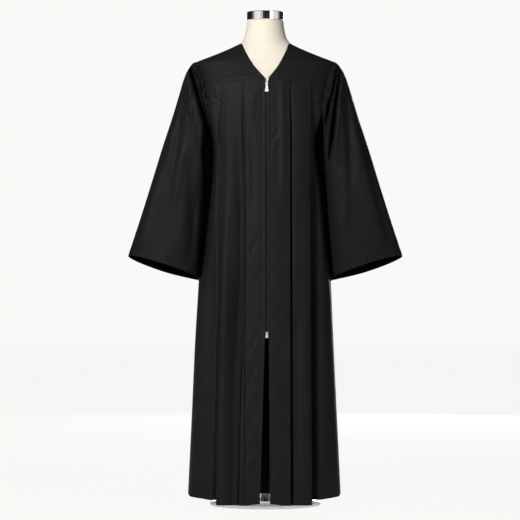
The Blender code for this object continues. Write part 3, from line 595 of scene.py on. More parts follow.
# one front as a grid of points: placket, pleat, strip, pleat and side panel
def frontGrid(side):
    top = garment["yokeSeam"] - garment["seamGap"] / 2
    level = top * (1 - bunched(frontShape["rows"], 0.35))
    layer = through(bodyShape, "layer", level)
    turn = layer / 2
    edge = frontEdge(side, level)
    shape = frontShape
    xs, levels, hems, sinks = [], [], [], []

    def put(x, depth, hem, sink=0.0):
        xs.append(np.broadcast_to(x, level.shape))
        levels.append(depth)
        hems.append(hem)
        sinks.append(np.broadcast_to(sink, level.shape))

    start, startLevel, hem = edge, 0.0, shape["hemEdge"]
    foldHem, shade, shadeWidth = shape["hemPleat"], 0.0 * level, 1.0
    for number, (high, middle, low, underlay, shades, width) in enumerate(pleats[side]):
        fold = np.interp(level, (0.0, shape["pleatMiddle"], top), (low, middle, high))
        root = fold - underlay
        steps = 26 if number == 0 else 22
        for i in range(steps):
            share = i / steps
            if number and i == 0:
                continue
            x = start + (root - start) * share
            sunk = shade * np.exp(-(((x - start) / shadeWidth) ** 2))
            put(x, startLevel * (1 - smooth(share)), hem + (foldHem - hem) * share, sunk)
        for share in np.linspace(0, 1, 13):
            put(root + (fold - turn - root) * share, 0.0, foldHem)
        for degrees in (25, 50, 75, 100, 125, 150, 175):
            angle = math.radians(degrees)
            put(fold - turn + turn * math.sin(angle), -0.5 + 0.5 * math.cos(angle), foldHem)
        for share in (0.1, 0.5, 0.9):
            put(fold - turn + (root + turn - fold + turn) * share, -1.0, foldHem)
        for degrees in (25, 90, 155):
            angle = math.radians(degrees)
            put(root + turn - turn * math.sin(angle), -1.5 + 0.5 * math.cos(angle), foldHem)
        after = shape["hemUnder"] if number else foldHem
        shade = np.interp(level, (0.0, shape["pleatMiddle"], 1.1, top), (*shades[::-1], 0.0))
        shadeWidth = width
        for share in (0.1, 0.4, 0.6, 0.75, 0.9, 0.97):
            x = root + turn + (fold - root - 2 * turn) * share
            put(x, -2.0, after, shade * smooth((share - 0.3) / 0.7))
        start, startLevel, hem = fold, -2.0, foldHem
        foldHem = shape["hemCorner"]
    x, depth = np.stack(xs, 1), np.array(levels)[None, :]
    z = level[:, None] + np.array(hems)[None, :] * np.clip(1 - level / shape["bottomRise"], 0, 1)[:, None]
    z = z + seamClimb(x, z)
    angle = angleAt(x, z)
    out = depth * through(bodyShape, "layer", z) - np.stack(sinks, 1)
    share = np.linspace(0, 1, 34)[1:][None, :]
    sideHem = shape["hemUnder"] + (shape["hemSide"] - shape["hemUnder"]) * share
    sideZ = level[:, None] + sideHem * np.clip(1 - level / shape["bottomRise"], 0, 1)[:, None]
    first, last = angleAt(start[:, None], sideZ), sideAngle(sideZ)
    sideTurn = first + (last - first) * share
    sideZ = sideZ + seamClimb(sideAt(sideZ) * np.sin(sideTurn), sideZ)
    sideOut = -2.0 * layer[:, None] * (1 - share) ** 2 + fluteDepth(shape["flutes"], share, sideZ)
    fromFold = sideAt(sideZ) * np.sin(sideTurn) - start[:, None]
    sideOut = sideOut - shade[:, None] * np.exp(-((fromFold / shadeWidth) ** 2))
    angle, z = np.concatenate([angle, sideTurn], 1), np.concatenate([z, sideZ], 1)
    out = np.concatenate([out, sideOut], 1)
    flat = bodyPoint(angle, z, 0.0)
    seamHold = smooth((sideAngle(z) - angle) / frontShape["seamHold"])
    out = out + creased(frontCreases[side], flat[..., 0], z) * seamHold
    grid = bodyPoint(angle, z, out)
    grid[..., 1] *= underArm(side, grid[..., 0], z)
    grid[:, -1, 1] -= garment["seamGap"] / 2
    grid[..., 0] *= side
    return fuller(grid)


# the back, hanging in flutes

backShape = {
    "rows": 160,
    "columns": 201,
    "hemSide": 0.0360,
    "hemMiddle": 0.0150,
    "flutes": [
        (-0.80, 0.040, -0.007), (-0.66, 0.036, 0.008), (-0.53, 0.038, 0.011), (-0.39, 0.036, -0.012),
        (-0.24, 0.040, 0.012), (-0.09, 0.036, -0.009), (0.04, 0.038, 0.012), (0.18, 0.036, -0.011),
        (0.33, 0.040, 0.010), (0.47, 0.036, -0.012), (0.61, 0.038, 0.009), (0.76, 0.036, -0.008),
    ],
}
backCreases = [  # across and height at each end, bow, width, depth
    (-0.165, 1.226, -0.128, 1.19, 0.003, 0.0045, -0.0022),
    (-0.15, 1.205, -0.138, 1.12, 0.002, 0.006, 0.002), (-0.112, 1.25, -0.108, 1.05, 0.003, 0.011, 0.003),
    (-0.08, 1.24, -0.084, 0.9, 0.002, 0.01, -0.003), (-0.03, 1.245, -0.04, 1.08, 0.003, 0.009, 0.0022),
    (-0.01, 1.18, -0.014, 0.82, -0.004, 0.01, -0.0026), (0.022, 1.248, 0.03, 1.13, 0.002, 0.007, -0.002),
    (0.055, 1.24, 0.05, 0.96, 0.003, 0.012, 0.003), (0.092, 1.235, 0.096, 1.06, 0.002, 0.008, -0.0024),
    (0.128, 1.245, 0.124, 1.14, 0.002, 0.008, 0.0022), (0.168, 1.22, 0.134, 1.18, -0.003, 0.005, -0.0022),
    (0.152, 1.19, 0.146, 1.1, 0.002, 0.006, 0.0018), (-0.12, 0.82, -0.134, 0.3, 0.004, 0.014, -0.005),
    (-0.052, 0.76, -0.06, 0.16, 0.003, 0.015, 0.005), (0.018, 0.7, 0.026, 0.1, 0.003, 0.015, -0.005),
    (0.104, 0.86, 0.12, 0.26, 0.003, 0.015, -0.006), (0.16, 0.7, 0.172, 0.12, 0.002, 0.013, 0.0045),
    (-0.175, 0.64, -0.188, 0.1, 0.002, 0.012, 0.0045),
]


def backGrid():
    top = garment["yokeSeam"] - garment["seamGap"] / 2
    level = (top * (1 - bunched(backShape["rows"], 0.55)))[:, None]
    place = np.linspace(-1, 1, backShape["columns"])[None, :]
    lower = backShape["hemMiddle"] - backShape["hemSide"]
    hem = backShape["hemSide"] + lower * np.cos(place * math.pi / 2) ** 1.2
    z = level + hem * np.clip(1 - level / frontShape["bottomRise"], 0, 1)
    turn = sideAngle(z) * place
    out = fluteDepth(backShape["flutes"], turn / (math.pi / 2), z)
    out = out + creased(backCreases, sideAt(z) * np.sin(turn), z)
    out = out * smooth((sideAngle(z) - np.abs(turn)) / frontShape["seamHold"])
    grid = bodyPoint(turn, z, out, behind=True)
    grid[:, 0, 1] += garment["seamGap"] / 2
    grid[:, -1, 1] += garment["seamGap"] / 2
    return fuller(grid)


# the yokes over the shoulders

yokeShape = {
    "rows": 64,
    "columns": 76,
    "turnAtSeam": 60,  # degrees down the armhole where the yoke seam meets it
    "neckDrop": 1.2645,
    "neckBow": 1.35,
    "lowNeck": 0.055,
    "ridgeDrop": 0.0029,
}
yokeCreases = {
    -1: [
        (0.19, 1.32, 0.15, 1.27, 0.003, 0.008, 0.0014), (0.15, 1.33, 0.118, 1.275, 0.003, 0.009, -0.001),
        (0.12, 1.345, 0.108, 1.268, 0.002, 0.007, 0.001), (0.04, 1.3, 0.03, 1.266, 0.001, 0.0045, -0.0008),
        (0.168, 1.3, 0.16, 1.268, 0.001, 0.004, -0.001), (0.086, 1.29, 0.08, 1.266, 0.001, 0.0035, 0.0008),
        (0.055, 1.285, 0.05, 1.266, 0.0, 0.003, 0.0008),
    ],
    1: [
        (0.192, 1.318, 0.156, 1.268, -0.003, 0.008, -0.0012),
        (0.16, 1.335, 0.12, 1.272, 0.003, 0.01, 0.0014), (0.105, 1.34, 0.092, 1.268, 0.002, 0.008, -0.001),
        (0.072, 1.31, 0.07, 1.266, 0.001, 0.005, 0.001), (0.028, 1.288, 0.024, 1.268, 0.0, 0.0026, -0.0009),
        (0.038, 1.29, 0.033, 1.268, 0.0, 0.0026, 0.0009),
        (0.047, 1.286, 0.043, 1.267, 0.0, 0.0026, -0.0009),
        (0.057, 1.288, 0.052, 1.267, 0.0, 0.0026, 0.0009),
    ],
}
yokeBackCreases = [
    (-0.19, 1.315, -0.14, 1.272, 0.003, 0.009, 0.0014), (-0.12, 1.345, -0.1, 1.27, 0.002, 0.009, -0.0012),
    (-0.06, 1.34, -0.055, 1.268, 0.001, 0.008, 0.001), (-0.02, 1.32, -0.016, 1.266, 0.001, 0.005, -0.0009),
    (0.03, 1.318, 0.034, 1.266, 0.001, 0.006, 0.001), (0.082, 1.342, 0.074, 1.268, 0.002, 0.008, -0.001),
    (0.14, 1.338, 0.118, 1.27, 0.003, 0.009, 0.0013), (0.192, 1.312, 0.16, 1.268, 0.002, 0.007, -0.0013),
]


def yokeFrontGrid(side):
    turn = (math.pi / 2 * bunched(yokeShape["rows"], 0.3))[:, None]
    share = bunched(yokeShape["columns"], 0.6)[None, :]
    down = 1 - np.cos(turn)
    neckX, neckZ = garment["neckPoint"]
    seam = garment["yokeSeam"] + garment["seamGap"] / 2
    edge = frontEdge(side, garment["yokeSeam"])
    innerZ = neckZ + down * (seam - neckZ)
    fall = np.clip((neckZ - innerZ) / (neckZ - yokeShape["neckDrop"]), 0, 1)
    innerX = edge + (neckX - edge) * (1 - fall ** yokeShape["neckBow"])
    outerX, outerZ = armhole(yokeShape["turnAtSeam"] * turn / (math.pi / 2))
    outerZ = outerZ + garment["seamGap"] / 2 * turn / (math.pi / 2)
    x = innerX + (outerX - garment["seamGap"] - innerX) * share
    z = innerZ + (outerZ - innerZ) * share
    z = z + seamClimb(x, z) - yokeShape["ridgeDrop"] * 4 * share * (1 - share) * (1 - down)
    y = depthAt(x, z)
    y[0] = garment["seamGap"] / 2
    grid = np.stack([x, -y, z], -1)
    grid[..., 1] -= creased(yokeCreases[side], x, z)
    grid[..., 0] *= side
    return grid


def yokeBackGrid():
    turn = (math.pi / 2 * bunched(yokeShape["rows"], 0.3))[:, None]
    down = 1 - np.cos(turn)
    neckX, neckZ = garment["neckPoint"]
    tipX = garment["shoulderTip"][0]
    seam = garment["yokeSeam"] + garment["seamGap"] / 2
    outer = tipX - (tipX - neckX) * bunched(52, 0.5)
    inner = neckX * (1 - np.linspace(0, 1, 30)[1:])
    top = np.concatenate([outer, inner])[None, :]
    outerX, outerZ = armhole(yokeShape["turnAtSeam"] * turn / (math.pi / 2))
    outerZ = outerZ + garment["seamGap"] / 2 * turn / (math.pi / 2)
    lowX = neckX + down * (yokeShape["lowNeck"] - neckX)
    lowZ = neckZ + down * (seam - neckZ)
    place = np.clip((top - neckX) / (tipX - neckX), 0, 1)
    onShoulder = top >= neckX
    x = np.where(onShoulder, lowX + (outerX - garment["seamGap"] - lowX) * place, lowX * top / neckX)
    rise = garment["backNeckRise"] * (1 - (top / neckX) ** 2) * (1 - down)
    z = np.where(onShoulder, lowZ + (outerZ - lowZ) * place, lowZ + rise)
    z = z - yokeShape["ridgeDrop"] * 4 * place * (1 - place) * (1 - down)
    y = depthAt(x, z, behind=True)
    y[0] = np.where(onShoulder[0], garment["seamGap"] / 2, y[0])
    y = y + creased(yokeBackCreases, x, z)
    half = np.stack([x, y, z], -1)
    other = half[:, -2::-1].copy()
    other[..., 0] *= -1
    return np.concatenate([half, other], 1)


# the bell sleeves, gathered at the cap

sleeveShape = {
    "rows": 160,
    "columns": 214,
    "along": [0.0, 0.035, 0.09, 0.18, 0.30, 0.45, 0.62, 0.80, 0.93, 1.0],
    "outerX": [0.2105, 0.2260, 0.2370, 0.2535, 0.2760, 0.3070, 0.3370, 0.3730, 0.3970, 0.4110],
    "outerZ": [1.3255, 1.3120, 1.2880, 1.2400, 1.1660, 1.0720, 0.9750, 0.8600, 0.7870, 0.7440],
    "innerX": [0.178, 0.168, 0.162, 0.165, 0.174, 0.180, 0.184, 0.187, 0.190, 0.191],
    "innerZ": [1.060, 1.040, 1.018, 0.996, 0.950, 0.893, 0.825, 0.752, 0.702, 0.673],
    "front": [0.088, 0.104, 0.106, 0.106, 0.102, 0.096, 0.091, 0.086, 0.082, 0.079],
    "back": [0.080, 0.096, 0.098, 0.098, 0.095, 0.090, 0.087, 0.083, 0.080, 0.077],
    "power": [2.0, 3.0, 3.0, 2.8, 2.7, 2.6, 2.5, 2.4, 2.2, 2.1],
    "lift": [0.0, 0.0, 0.0, 0.0, 0.0, 0.002, 0.005, 0.009, 0.012, 0.0135],
    "leaveSeam": 0.18,  # share of the length over which the armhole's line gives way to the sleeve's own
    "clear": 0.0022,
    "tuck": [0.0, 0.006, 0.012, 0.018, 0.024, 0.024, 0.020, 0.016, 0.014, 0.012],
    "tuckTurns": (170, 200, 230, 275),  # degrees over which that tuck behind the body comes and goes
    "oval": (0.12, 0.10, 2.8),  # the plain ring that spaces the columns
    "closeTurns": (4, 150),  # degrees between which the columns stand closer
    "closer": 2.3,
    "wider": 0.6,
    "seamHold": 0.020,  # share of the length over which folds and creases leave the armhole
    "gatherWidth": (2.8, 1.6),
    "gatherDepth": 1.9,
}
sleeveFolds = {  # each fold: places down the sleeve, degrees round it there, depths there, and its width
    -1: [
        ((0.25, 0.5, 0.8, 0.99), (96, 100, 104, 104), (0.0, 0.008, 0.006, 0.0), 14),
        ((0.25, 0.45, 0.8, 0.99), (66, 70, 74, 76), (0.0, -0.007, -0.006, -0.001), 12),
        ((0.4, 0.65, 0.9, 0.99), (40, 42, 44, 44), (0.0, 0.006, 0.004, 0.0), 12),
        ((0.35, 0.6, 0.85, 0.99), (124, 126, 128, 128), (0.0, -0.006, -0.005, 0.0), 9),
        ((0.0, 0.1, 0.3, 0.7), (308, 306, 300, 296), (0.0, -0.009, -0.008, 0.0), 10),
        ((0.0, 0.1, 0.35, 0.7), (284, 280, 276, 272), (0.0, 0.008, 0.007, 0.0), 11),
        ((0.01, 0.08, 0.18, 0.33, 0.45), (256, 248, 236, 214, 208), (-0.002, -0.009, -0.011, -0.009, 0.0), 9),
        ((0.3, 0.55, 0.85, 0.99), (258, 256, 254, 254), (0.0, -0.008, -0.006, 0.0), 13),
        ((0.35, 0.6, 0.9, 0.99), (326, 324, 322, 322), (0.0, 0.006, 0.004, 0.0), 12),
    ],
    1: [
        ((0.35, 0.6, 0.9, 0.99), (60, 62, 66, 66), (0.0, 0.007, 0.005, 0.0), 13),
        ((0.35, 0.65, 0.9, 0.99), (36, 38, 40, 40), (0.0, -0.006, -0.005, 0.0), 11),
        ((0.45, 0.7, 0.92, 0.99), (118, 120, 122, 122), (0.0, 0.006, 0.004, 0.0), 12),
        ((0.0, 0.12, 0.32, 0.66), (304, 301, 296, 290), (0.0, -0.01, -0.009, 0.0), 10),
        ((0.0, 0.09, 0.3, 0.62), (279, 276, 270, 262), (0.0, 0.008, 0.008, 0.0), 10),
        ((0.02, 0.09, 0.2, 0.34, 0.44), (252, 244, 230, 212, 206), (-0.002, -0.009, -0.011, -0.009, 0.0), 9),
        ((0.4, 0.62, 0.86, 0.99), (244, 242, 240, 240), (0.0, -0.008, -0.006, 0.0), 12),
        ((0.3, 0.58, 0.88, 0.99), (318, 316, 314, 314), (0.0, 0.006, 0.005, 0.0), 13),
    ],
}
sleeveInner = {  # where the front of each sleeve turns in towards the body, and the share it falls back
    "height": [0.650, 0.733, 0.840, 0.950, 1.060, 1.120, 1.187, 1.240],
    -1: [0.204, 0.196, 0.184, 0.181, 0.187, 0.184, 0.182, 0.180],
    1: [0.204, 0.196, 0.187, 0.182, 0.174, 0.172, 0.170, 0.168],
    "fall": [0.50, 0.80, 0.90, 0.94, 0.92, 0.60, 0.00, 0.00],
    "over": 0.010,
}
sleeveCreases = {  # on the front, across and height at each end, bow, width, depth
    -1: [
        (0.233, 1.38, 0.155, 1.03, -0.001, 0.0062, -0.056), (0.211, 1.3, 0.195, 1.22, 0.0, 0.003, -0.008),
        (0.212, 1.33, 0.16, 1.07, 0.001, 0.005, 0.012), (0.224, 1.3, 0.208, 1.05, 0.0, 0.008, 0.006),
        (0.226, 1.295, 0.274, 1.02, 0.002, 0.013, -0.012), (0.24, 1.24, 0.3, 0.96, 0.002, 0.015, 0.004),
        (0.188, 1.25, 0.176, 1.17, 0.001, 0.0028, -0.008), (0.216, 1.24, 0.208, 1.12, 0.001, 0.005, -0.005),
        (0.183, 1.18, 0.17, 1.11, 0.002, 0.0028, -0.008), (0.245, 1.08, 0.27, 0.88, 0.004, 0.016, 0.007),
        (0.215, 1.06, 0.22, 0.8, 0.004, 0.014, -0.007), (0.203, 1.312, 0.206, 1.25, 0.0, 0.0028, -0.01),
        (0.1957, 1.3, 0.194, 1.226, 0.001, 0.0028, -0.011),
        (0.1883, 1.278, 0.1848, 1.202, 0.001, 0.0028, -0.011),
        (0.1824, 1.252, 0.1775, 1.176, 0.001, 0.0028, -0.01),
        (0.1765, 1.222, 0.173, 1.132, 0.001, 0.0028, -0.009),
    ],
    1: [
        (0.215, 1.34, 0.169, 1.09, 0.003, 0.0056, -0.034), (0.206, 1.32, 0.177, 1.06, 0.002, 0.005, 0.007),
        (0.226, 1.37, 0.186, 1.0, 0.001, 0.0052, -0.038), (0.224, 1.3, 0.206, 1.04, 0.0, 0.007, 0.006),
        (0.234, 1.29, 0.256, 0.93, 0.004, 0.013, -0.013), (0.248, 1.24, 0.29, 0.98, 0.003, 0.015, 0.004),
        (0.19, 1.24, 0.178, 1.16, 0.001, 0.0028, -0.008), (0.218, 1.2, 0.203, 1.09, 0.001, 0.005, -0.005),
        (0.23, 1.02, 0.234, 0.8, 0.004, 0.014, 0.007), (0.195, 1.18, 0.183, 1.09, 0.001, 0.003, 0.004),
        (0.1915, 1.272, 0.18, 1.2, 0.001, 0.0026, -0.008),
        (0.182, 1.245, 0.1745, 1.17, 0.001, 0.0026, -0.008),
        (0.202, 1.31, 0.199, 1.255, 0.001, 0.0026, -0.008),
    ],
}
gathers = {  # degrees round the cap, where it starts and ends down the sleeve, and its depth
    -1: [
        (-118, 0.01, 0.07, 0.002), (-104, 0.006, 0.12, 0.003), (-93, 0.008, 0.08, 0.0024),
        (-80, 0.006, 0.15, 0.0034), (-69, 0.01, 0.07, 0.0022), (-58, 0.006, 0.11, 0.0028),
        (-47, 0.005, 0.17, 0.0036), (-38, 0.008, 0.08, 0.0024), (-27, 0.005, 0.13, 0.003),
        (-18, 0.006, 0.07, 0.0022), (-8, 0.005, 0.16, 0.0032), (3, 0.006, 0.08, 0.0024),
        (12, 0.005, 0.13, 0.0032), (22, 0.005, 0.09, 0.0028), (31, 0.005, 0.19, 0.0038),
        (42, 0.006, 0.1, 0.003), (50, 0.005, 0.14, 0.0034), (61, 0.006, 0.08, 0.0026),
        (70, 0.005, 0.17, 0.004), (82, 0.006, 0.09, 0.0028), (92, 0.006, 0.13, 0.0032),
        (101, 0.008, 0.07, 0.0024), (113, 0.008, 0.1, 0.0026), (124, 0.012, 0.07, 0.002),
    ],
    1: [
        (-121, 0.01, 0.08, 0.0022), (-108, 0.006, 0.11, 0.0028), (-97, 0.008, 0.07, 0.0024),
        (-84, 0.006, 0.16, 0.0034), (-74, 0.01, 0.08, 0.0024), (-62, 0.006, 0.12, 0.003),
        (-52, 0.005, 0.08, 0.0026), (-41, 0.008, 0.15, 0.0034), (-31, 0.005, 0.08, 0.0026),
        (-21, 0.006, 0.14, 0.0032), (-12, 0.005, 0.07, 0.0024), (-2, 0.006, 0.15, 0.0034),
        (9, 0.005, 0.08, 0.0026), (18, 0.005, 0.16, 0.0036), (29, 0.005, 0.08, 0.0026),
        (38, 0.006, 0.14, 0.0036), (47, 0.005, 0.09, 0.0028), (58, 0.006, 0.18, 0.004),
        (67, 0.005, 0.09, 0.0028), (78, 0.006, 0.13, 0.0034), (88, 0.006, 0.08, 0.0026),
        (99, 0.008, 0.12, 0.0032), (109, 0.008, 0.07, 0.0024), (121, 0.012, 0.08, 0.002),
    ],
}
puff = {  # how far the cap's fullness stands out past the seam, and where down the sleeve
    "depth": {-1: 0.0055, 1: 0.0020},
    "ahead": 0.0085,
    "from": 0.0,
    "peak": 0.022,
    "over": 0.20,
    "turns": (140, 50),
}


def alongSleeve(key, at):
    return through({"height": sleeveShape["along"], key: sleeveShape[key]}, key, at)


# push points straight out from the robe's middle until they stand clear of its body
def clearOfBody(side, grid, gap):
    x, y, z = grid[..., 0], grid[..., 1], grid[..., 2]
    power = through(bodyShape, "power", z)
    reach = np.where(y > 0, through(bodyShape, "back", z), through(bodyShape, "front", z))
    deep = np.abs(y) / np.where(y < 0, underArm(side, x, z), 1.0)
    size = ((np.abs(x) / sideAt(z)) ** power + (deep / reach) ** power) ** (1 / power)
    holeX, holeZ = armhole(np.linspace(180, 0, 60))
    reached = np.interp(z, holeZ, holeX, left=1.0)
    needed = np.maximum((1 + gap / np.hypot(x, y)) / size, 1.0) - 1
    grow = 1 + needed * smooth((reached + 0.005 - x) / 0.004)
    return np.stack([x * grow, y * grow, z], -1)


# degrees round the sleeve that space its columns evenly, and closer on its front
def sleeveColumns():
    fine = np.linspace(0, 360, 3601)
    turn = np.radians(fine)
    wide, deep, power = sleeveShape["oval"]
    x, y = wide * signedPower(np.cos(turn), 2 / power), deep * signedPower(np.sin(turn), 2 / power)
    start, end = sleeveShape["closeTurns"]
    weight = np.where((fine[1:] > start) & (fine[1:] < end), sleeveShape["closer"], sleeveShape["wider"])
    run = np.concatenate([[0], np.cumsum(np.hypot(np.diff(x), np.diff(y)) * weight)])
    return np.interp(np.arange(sleeveShape["columns"]) * run[-1] / sleeveShape["columns"], run, fine)


# rings from the armhole to the cuff, each turning from the outer line to the front, body and back
def sleeveGrid(side):
    even = bunched(sleeveShape["rows"], 0.35)
    at = (even * (0.55 + 0.45 * even))[:, None]
    degrees = sleeveColumns()[None, :]
    turn = np.radians(degrees)
    columns = [key for key in sleeveShape if isinstance(sleeveShape[key], list) and key != "along"]
    read = {key: alongSleeve(key, at) for key in columns}
    power = read["power"]
    across = signedPower(np.cos(turn), 2 / power)
    ahead = signedPower(np.sin(turn), 2 / power)
    reach = np.where(degrees <= 180, read["front"], read["back"])
    x = (read["outerX"] + read["innerX"]) / 2 + (read["outerX"] - read["innerX"]) / 2 * across
    z = (read["outerZ"] + read["innerZ"]) / 2 + (read["outerZ"] - read["innerZ"]) / 2 * across
    z = z + read["lift"] * np.sin(turn)
    ring = np.stack([x, -reach * ahead, z], -1)
    start, whole, still, end = sleeveShape["tuckTurns"]
    behind = smooth((degrees - start) / (whole - start)) * smooth((end - degrees) / (end - still))
    ring[..., 0] -= read["tuck"] * behind
    front = np.where(degrees <= 180, degrees, 360 - degrees)
    holeX, holeZ = armhole(front)
    holeFront = -depthAt(holeX, holeZ) * underArm(side, holeX, holeZ)
    holeY = np.where(degrees <= 180, holeFront, depthAt(holeX, holeZ, behind=True))
    holeY = np.where((front == 0) | (front == 180), 0.0, holeY)
    hole = np.stack([holeX, holeY, holeZ], -1)
    eased = (1 - (1 - np.minimum(at / sleeveShape["leaveSeam"], 1)) ** 2)[..., None]
    grid = hole * (1 - eased) + ring * eased
    edge, fall = (np.interp(grid[..., 2], sleeveInner["height"], sleeveInner[key]) for key in (side, "fall"))
    seamHold = smooth(at / sleeveShape["seamHold"])
    inner = smooth((edge - grid[..., 0]) / sleeveInner["over"] + 0.5) * (degrees < 180) * seamHold
    grid[..., 1] = np.minimum(grid[..., 1] * (1 - fall * inner), -0.002 * inner + grid[..., 1] * (1 - inner))
    press = creased(sleeveCreases[side], grid[..., 0], grid[..., 2]) * smooth(np.sin(turn) * 2.5) * seamHold
    depth = np.zeros(press.shape)
    for places, centres, depths, width in sleeveFolds[side]:
        away = (degrees - np.interp(at, places, centres)) / width
        depth += np.interp(at, places, depths) * np.exp(-(away**2))
    depth *= seamHold
    signed = np.where(degrees > 180, degrees - 360, degrees)
    narrow, spreads = sleeveShape["gatherWidth"]
    for centre, start, end, deep in gathers[side]:
        run = np.clip((at - start / 3) / (end - start / 3), 0, 1)
        away = (signed - centre) / (narrow + spreads * run)
        deepest = sleeveShape["gatherDepth"] * deep
        depth -= deepest * np.exp(-(away**2)) * smooth(run * 10) * (1 - run) ** 0.6
    rise = smooth((at - puff["from"]) / (puff["peak"] - puff["from"]))
    rise = rise * smooth((puff["over"] - at) / puff["over"] * 1.4)
    full = puff["depth"][side] + puff["ahead"] * smooth(np.abs(np.sin(turn)) * 2)
    lastTurn, fading = puff["turns"]
    depth += full * rise * smooth((lastTurn - np.abs(signed)) / fading)
    lean = np.maximum(np.cos(turn) * 0.8, np.cos(turn) * 0.15)
    grid = grid + np.stack([lean, -np.sin(turn), np.zeros_like(turn)], -1) * depth[..., None]
    grid[..., 1] -= press
    seamGap = garment["seamGap"] + garment["cloth"] * (1 - np.cos(turn)) / 6
    gap = np.where(at > 0, np.minimum(sleeveShape["clear"] + at * 0.05, 0.0050), seamGap)
    grid[0, :, 0] += seamGap[0]
    grid = clearOfBody(side, grid, gap)
    grid[..., 0] *= side
    return grid


# the dress form

formShape = {
    "height": [0.720, 0.735, 0.850, 0.930, 0.990, 1.050, 1.130, 1.190, 1.230],
    "side": [0.1600, 0.1660, 0.1690, 0.1500, 0.1320, 0.1380, 0.1580, 0.1740, 0.1880],
    "front": [0.118, 0.122, 0.118, 0.108, 0.104, 0.112, 0.125, 0.126, 0.1225],
    "back": [0.120, 0.124, 0.126, 0.108, 0.096, 0.100, 0.108, 0.108, 0.106],
    "power": [2.3, 2.3, 2.3, 2.2, 2.2, 2.2, 2.2, 2.2, 2.15],
    "neckHeight": [1.396, 1.410, 1.430, 1.451],
    "neckSide": [0.0625, 0.0605, 0.0565, 0.0545],
    "neckFront": [0.0595, 0.0580, 0.0560, 0.0545],
    "neckBack": [0.0620, 0.0605, 0.0570, 0.0545],
    "shoulders": [1.262, 1.285, 1.305, 1.3180, 1.3255, 1.340, 1.355, 1.370, 1.382],
    "chestHollow": 0.006,
    "neckRoom": 0.0022,
    "rows": 170,
    "columns": 140,
    "neckSeam": 1.345,
    "seamDip": 0.0009,
    "seamWidth": 0.0012,
    "neckEasing": 14,
}


# the form's half width, front, back and power just under the cloth
def shoulderSection(z):
    seat = garment["formSeat"]
    over = z + seat
    falling = smooth((1.320 - z) / 0.055)
    hollow = formShape["chestHollow"] * falling + formShape["neckRoom"] * min(max((z - 1.355) / 0.020, 0), 1)
    tip = 4 * seat * min(max((1.362 - z) / 0.0365, 0), 1)
    side = float(sideAt(np.array(over))) - tip - hollow
    front = float(through(bodyShape, "front", over)) - seat - hollow
    back = float(through(bodyShape, "back", over)) - seat - hollow
    return side, front, back, float(through(bodyShape, "power", over))


def formGrid():
    shoulders = [shoulderSection(z) for z in formShape["shoulders"]]
    neck = list(zip(formShape["neckSide"], formShape["neckFront"], formShape["neckBack"], [2.0] * 4))
    columns = {"height": formShape["height"] + formShape["shoulders"] + formShape["neckHeight"]}
    for i, key in enumerate(("side", "front", "back", "power")):
        columns[key] = formShape[key] + [row[i] for row in shoulders] + [row[i] for row in neck]
    low, high = columns["height"][0], columns["height"][-1]
    z = low + (high - low) * (np.linspace(0, 1, formShape["rows"])[:, None]) ** 0.8
    turn = (np.arange(formShape["columns"]) * 2 * math.pi / formShape["columns"])[None, :]
    power = through(columns, "power", z)
    reach = np.where(np.sin(turn) > 0, through(columns, "back", z), through(columns, "front", z))
    x = through(columns, "side", z) * signedPower(np.cos(turn), 2 / power)
    y = reach * signedPower(np.sin(turn), 2 / power)
    eased = smooth((z - 1.352) / 0.012) * smooth((1.420 - z) / 0.015)
    for _ in range(formShape["neckEasing"]):
        for place in (x, y):
            place[1:-1] += eased[1:-1] * ((place[:-2] + place[2:]) / 2 - place[1:-1])
    return np.stack([x, y, z + 0 * x], -1)


# finishes

def newGroup(name, inputs, outputs):
    group = bpy.data.node_groups.new(name, "ShaderNodeTree")
    for label, kind, default in inputs:
        socket = group.interface.new_socket(name=label, in_out="INPUT", socket_type=kind)
        if default is not None:
            socket.default_value = default
    for label, kind in outputs:
        group.interface.new_socket(name=label, in_out="OUTPUT", socket_type=kind)
    return group, group.nodes.new("NodeGroupInput"), group.nodes.new("NodeGroupOutput")


# over-and-under threads across a flat cut, with slubs that thicken a thread here and there
def makeWeaveGroup():
    group, given, out = newGroup(
        "plainWeave",
        [
            ("Place", "NodeSocketVector", None),
            ("Threads", "NodeSocketFloat", 1600.0),
            ("Slub", "NodeSocketFloat", 0.3),
        ],
        [("Height", "NodeSocketFloat"), ("Slubs", "NodeSocketFloat")],
    )
    split = group.nodes.new("ShaderNodeSeparateXYZ")
    group.links.new(given.outputs["Place"], split.inputs[0])
    waves = []
    for i in range(2):
        turned = mathNode(group, "MULTIPLY", split.outputs[i], given.outputs["Threads"])
        waves.append(mathNode(group, "SINE", mathNode(group, "MULTIPLY", turned, 2 * math.pi)))
    crossed = mathNode(group, "MULTIPLY", waves[0], waves[1])
    slubs = group.nodes.new("ShaderNodeTexNoise")
    slubs.inputs["Scale"].default_value = 1.0
    slubs.inputs["Detail"].default_value = 2.0
    stretch = group.nodes.new("ShaderNodeVectorMath")
    stretch.operation = "MULTIPLY"
    stretch.inputs[1].default_value = (60, 700, 1)
    group.links.new(given.outputs["Place"], stretch.inputs[0])
    group.links.new(stretch.outputs[0], slubs.inputs["Vector"])
    rough = mathNode(group, "MULTIPLY", slubs.outputs[0], given.outputs["Slub"])
    group.links.new(mathNode(group, "MULTIPLY_ADD", crossed, 0.5, rough), out.inputs["Height"])
    group.links.new(slubs.outputs[0], out.inputs["Slubs"])
    return group


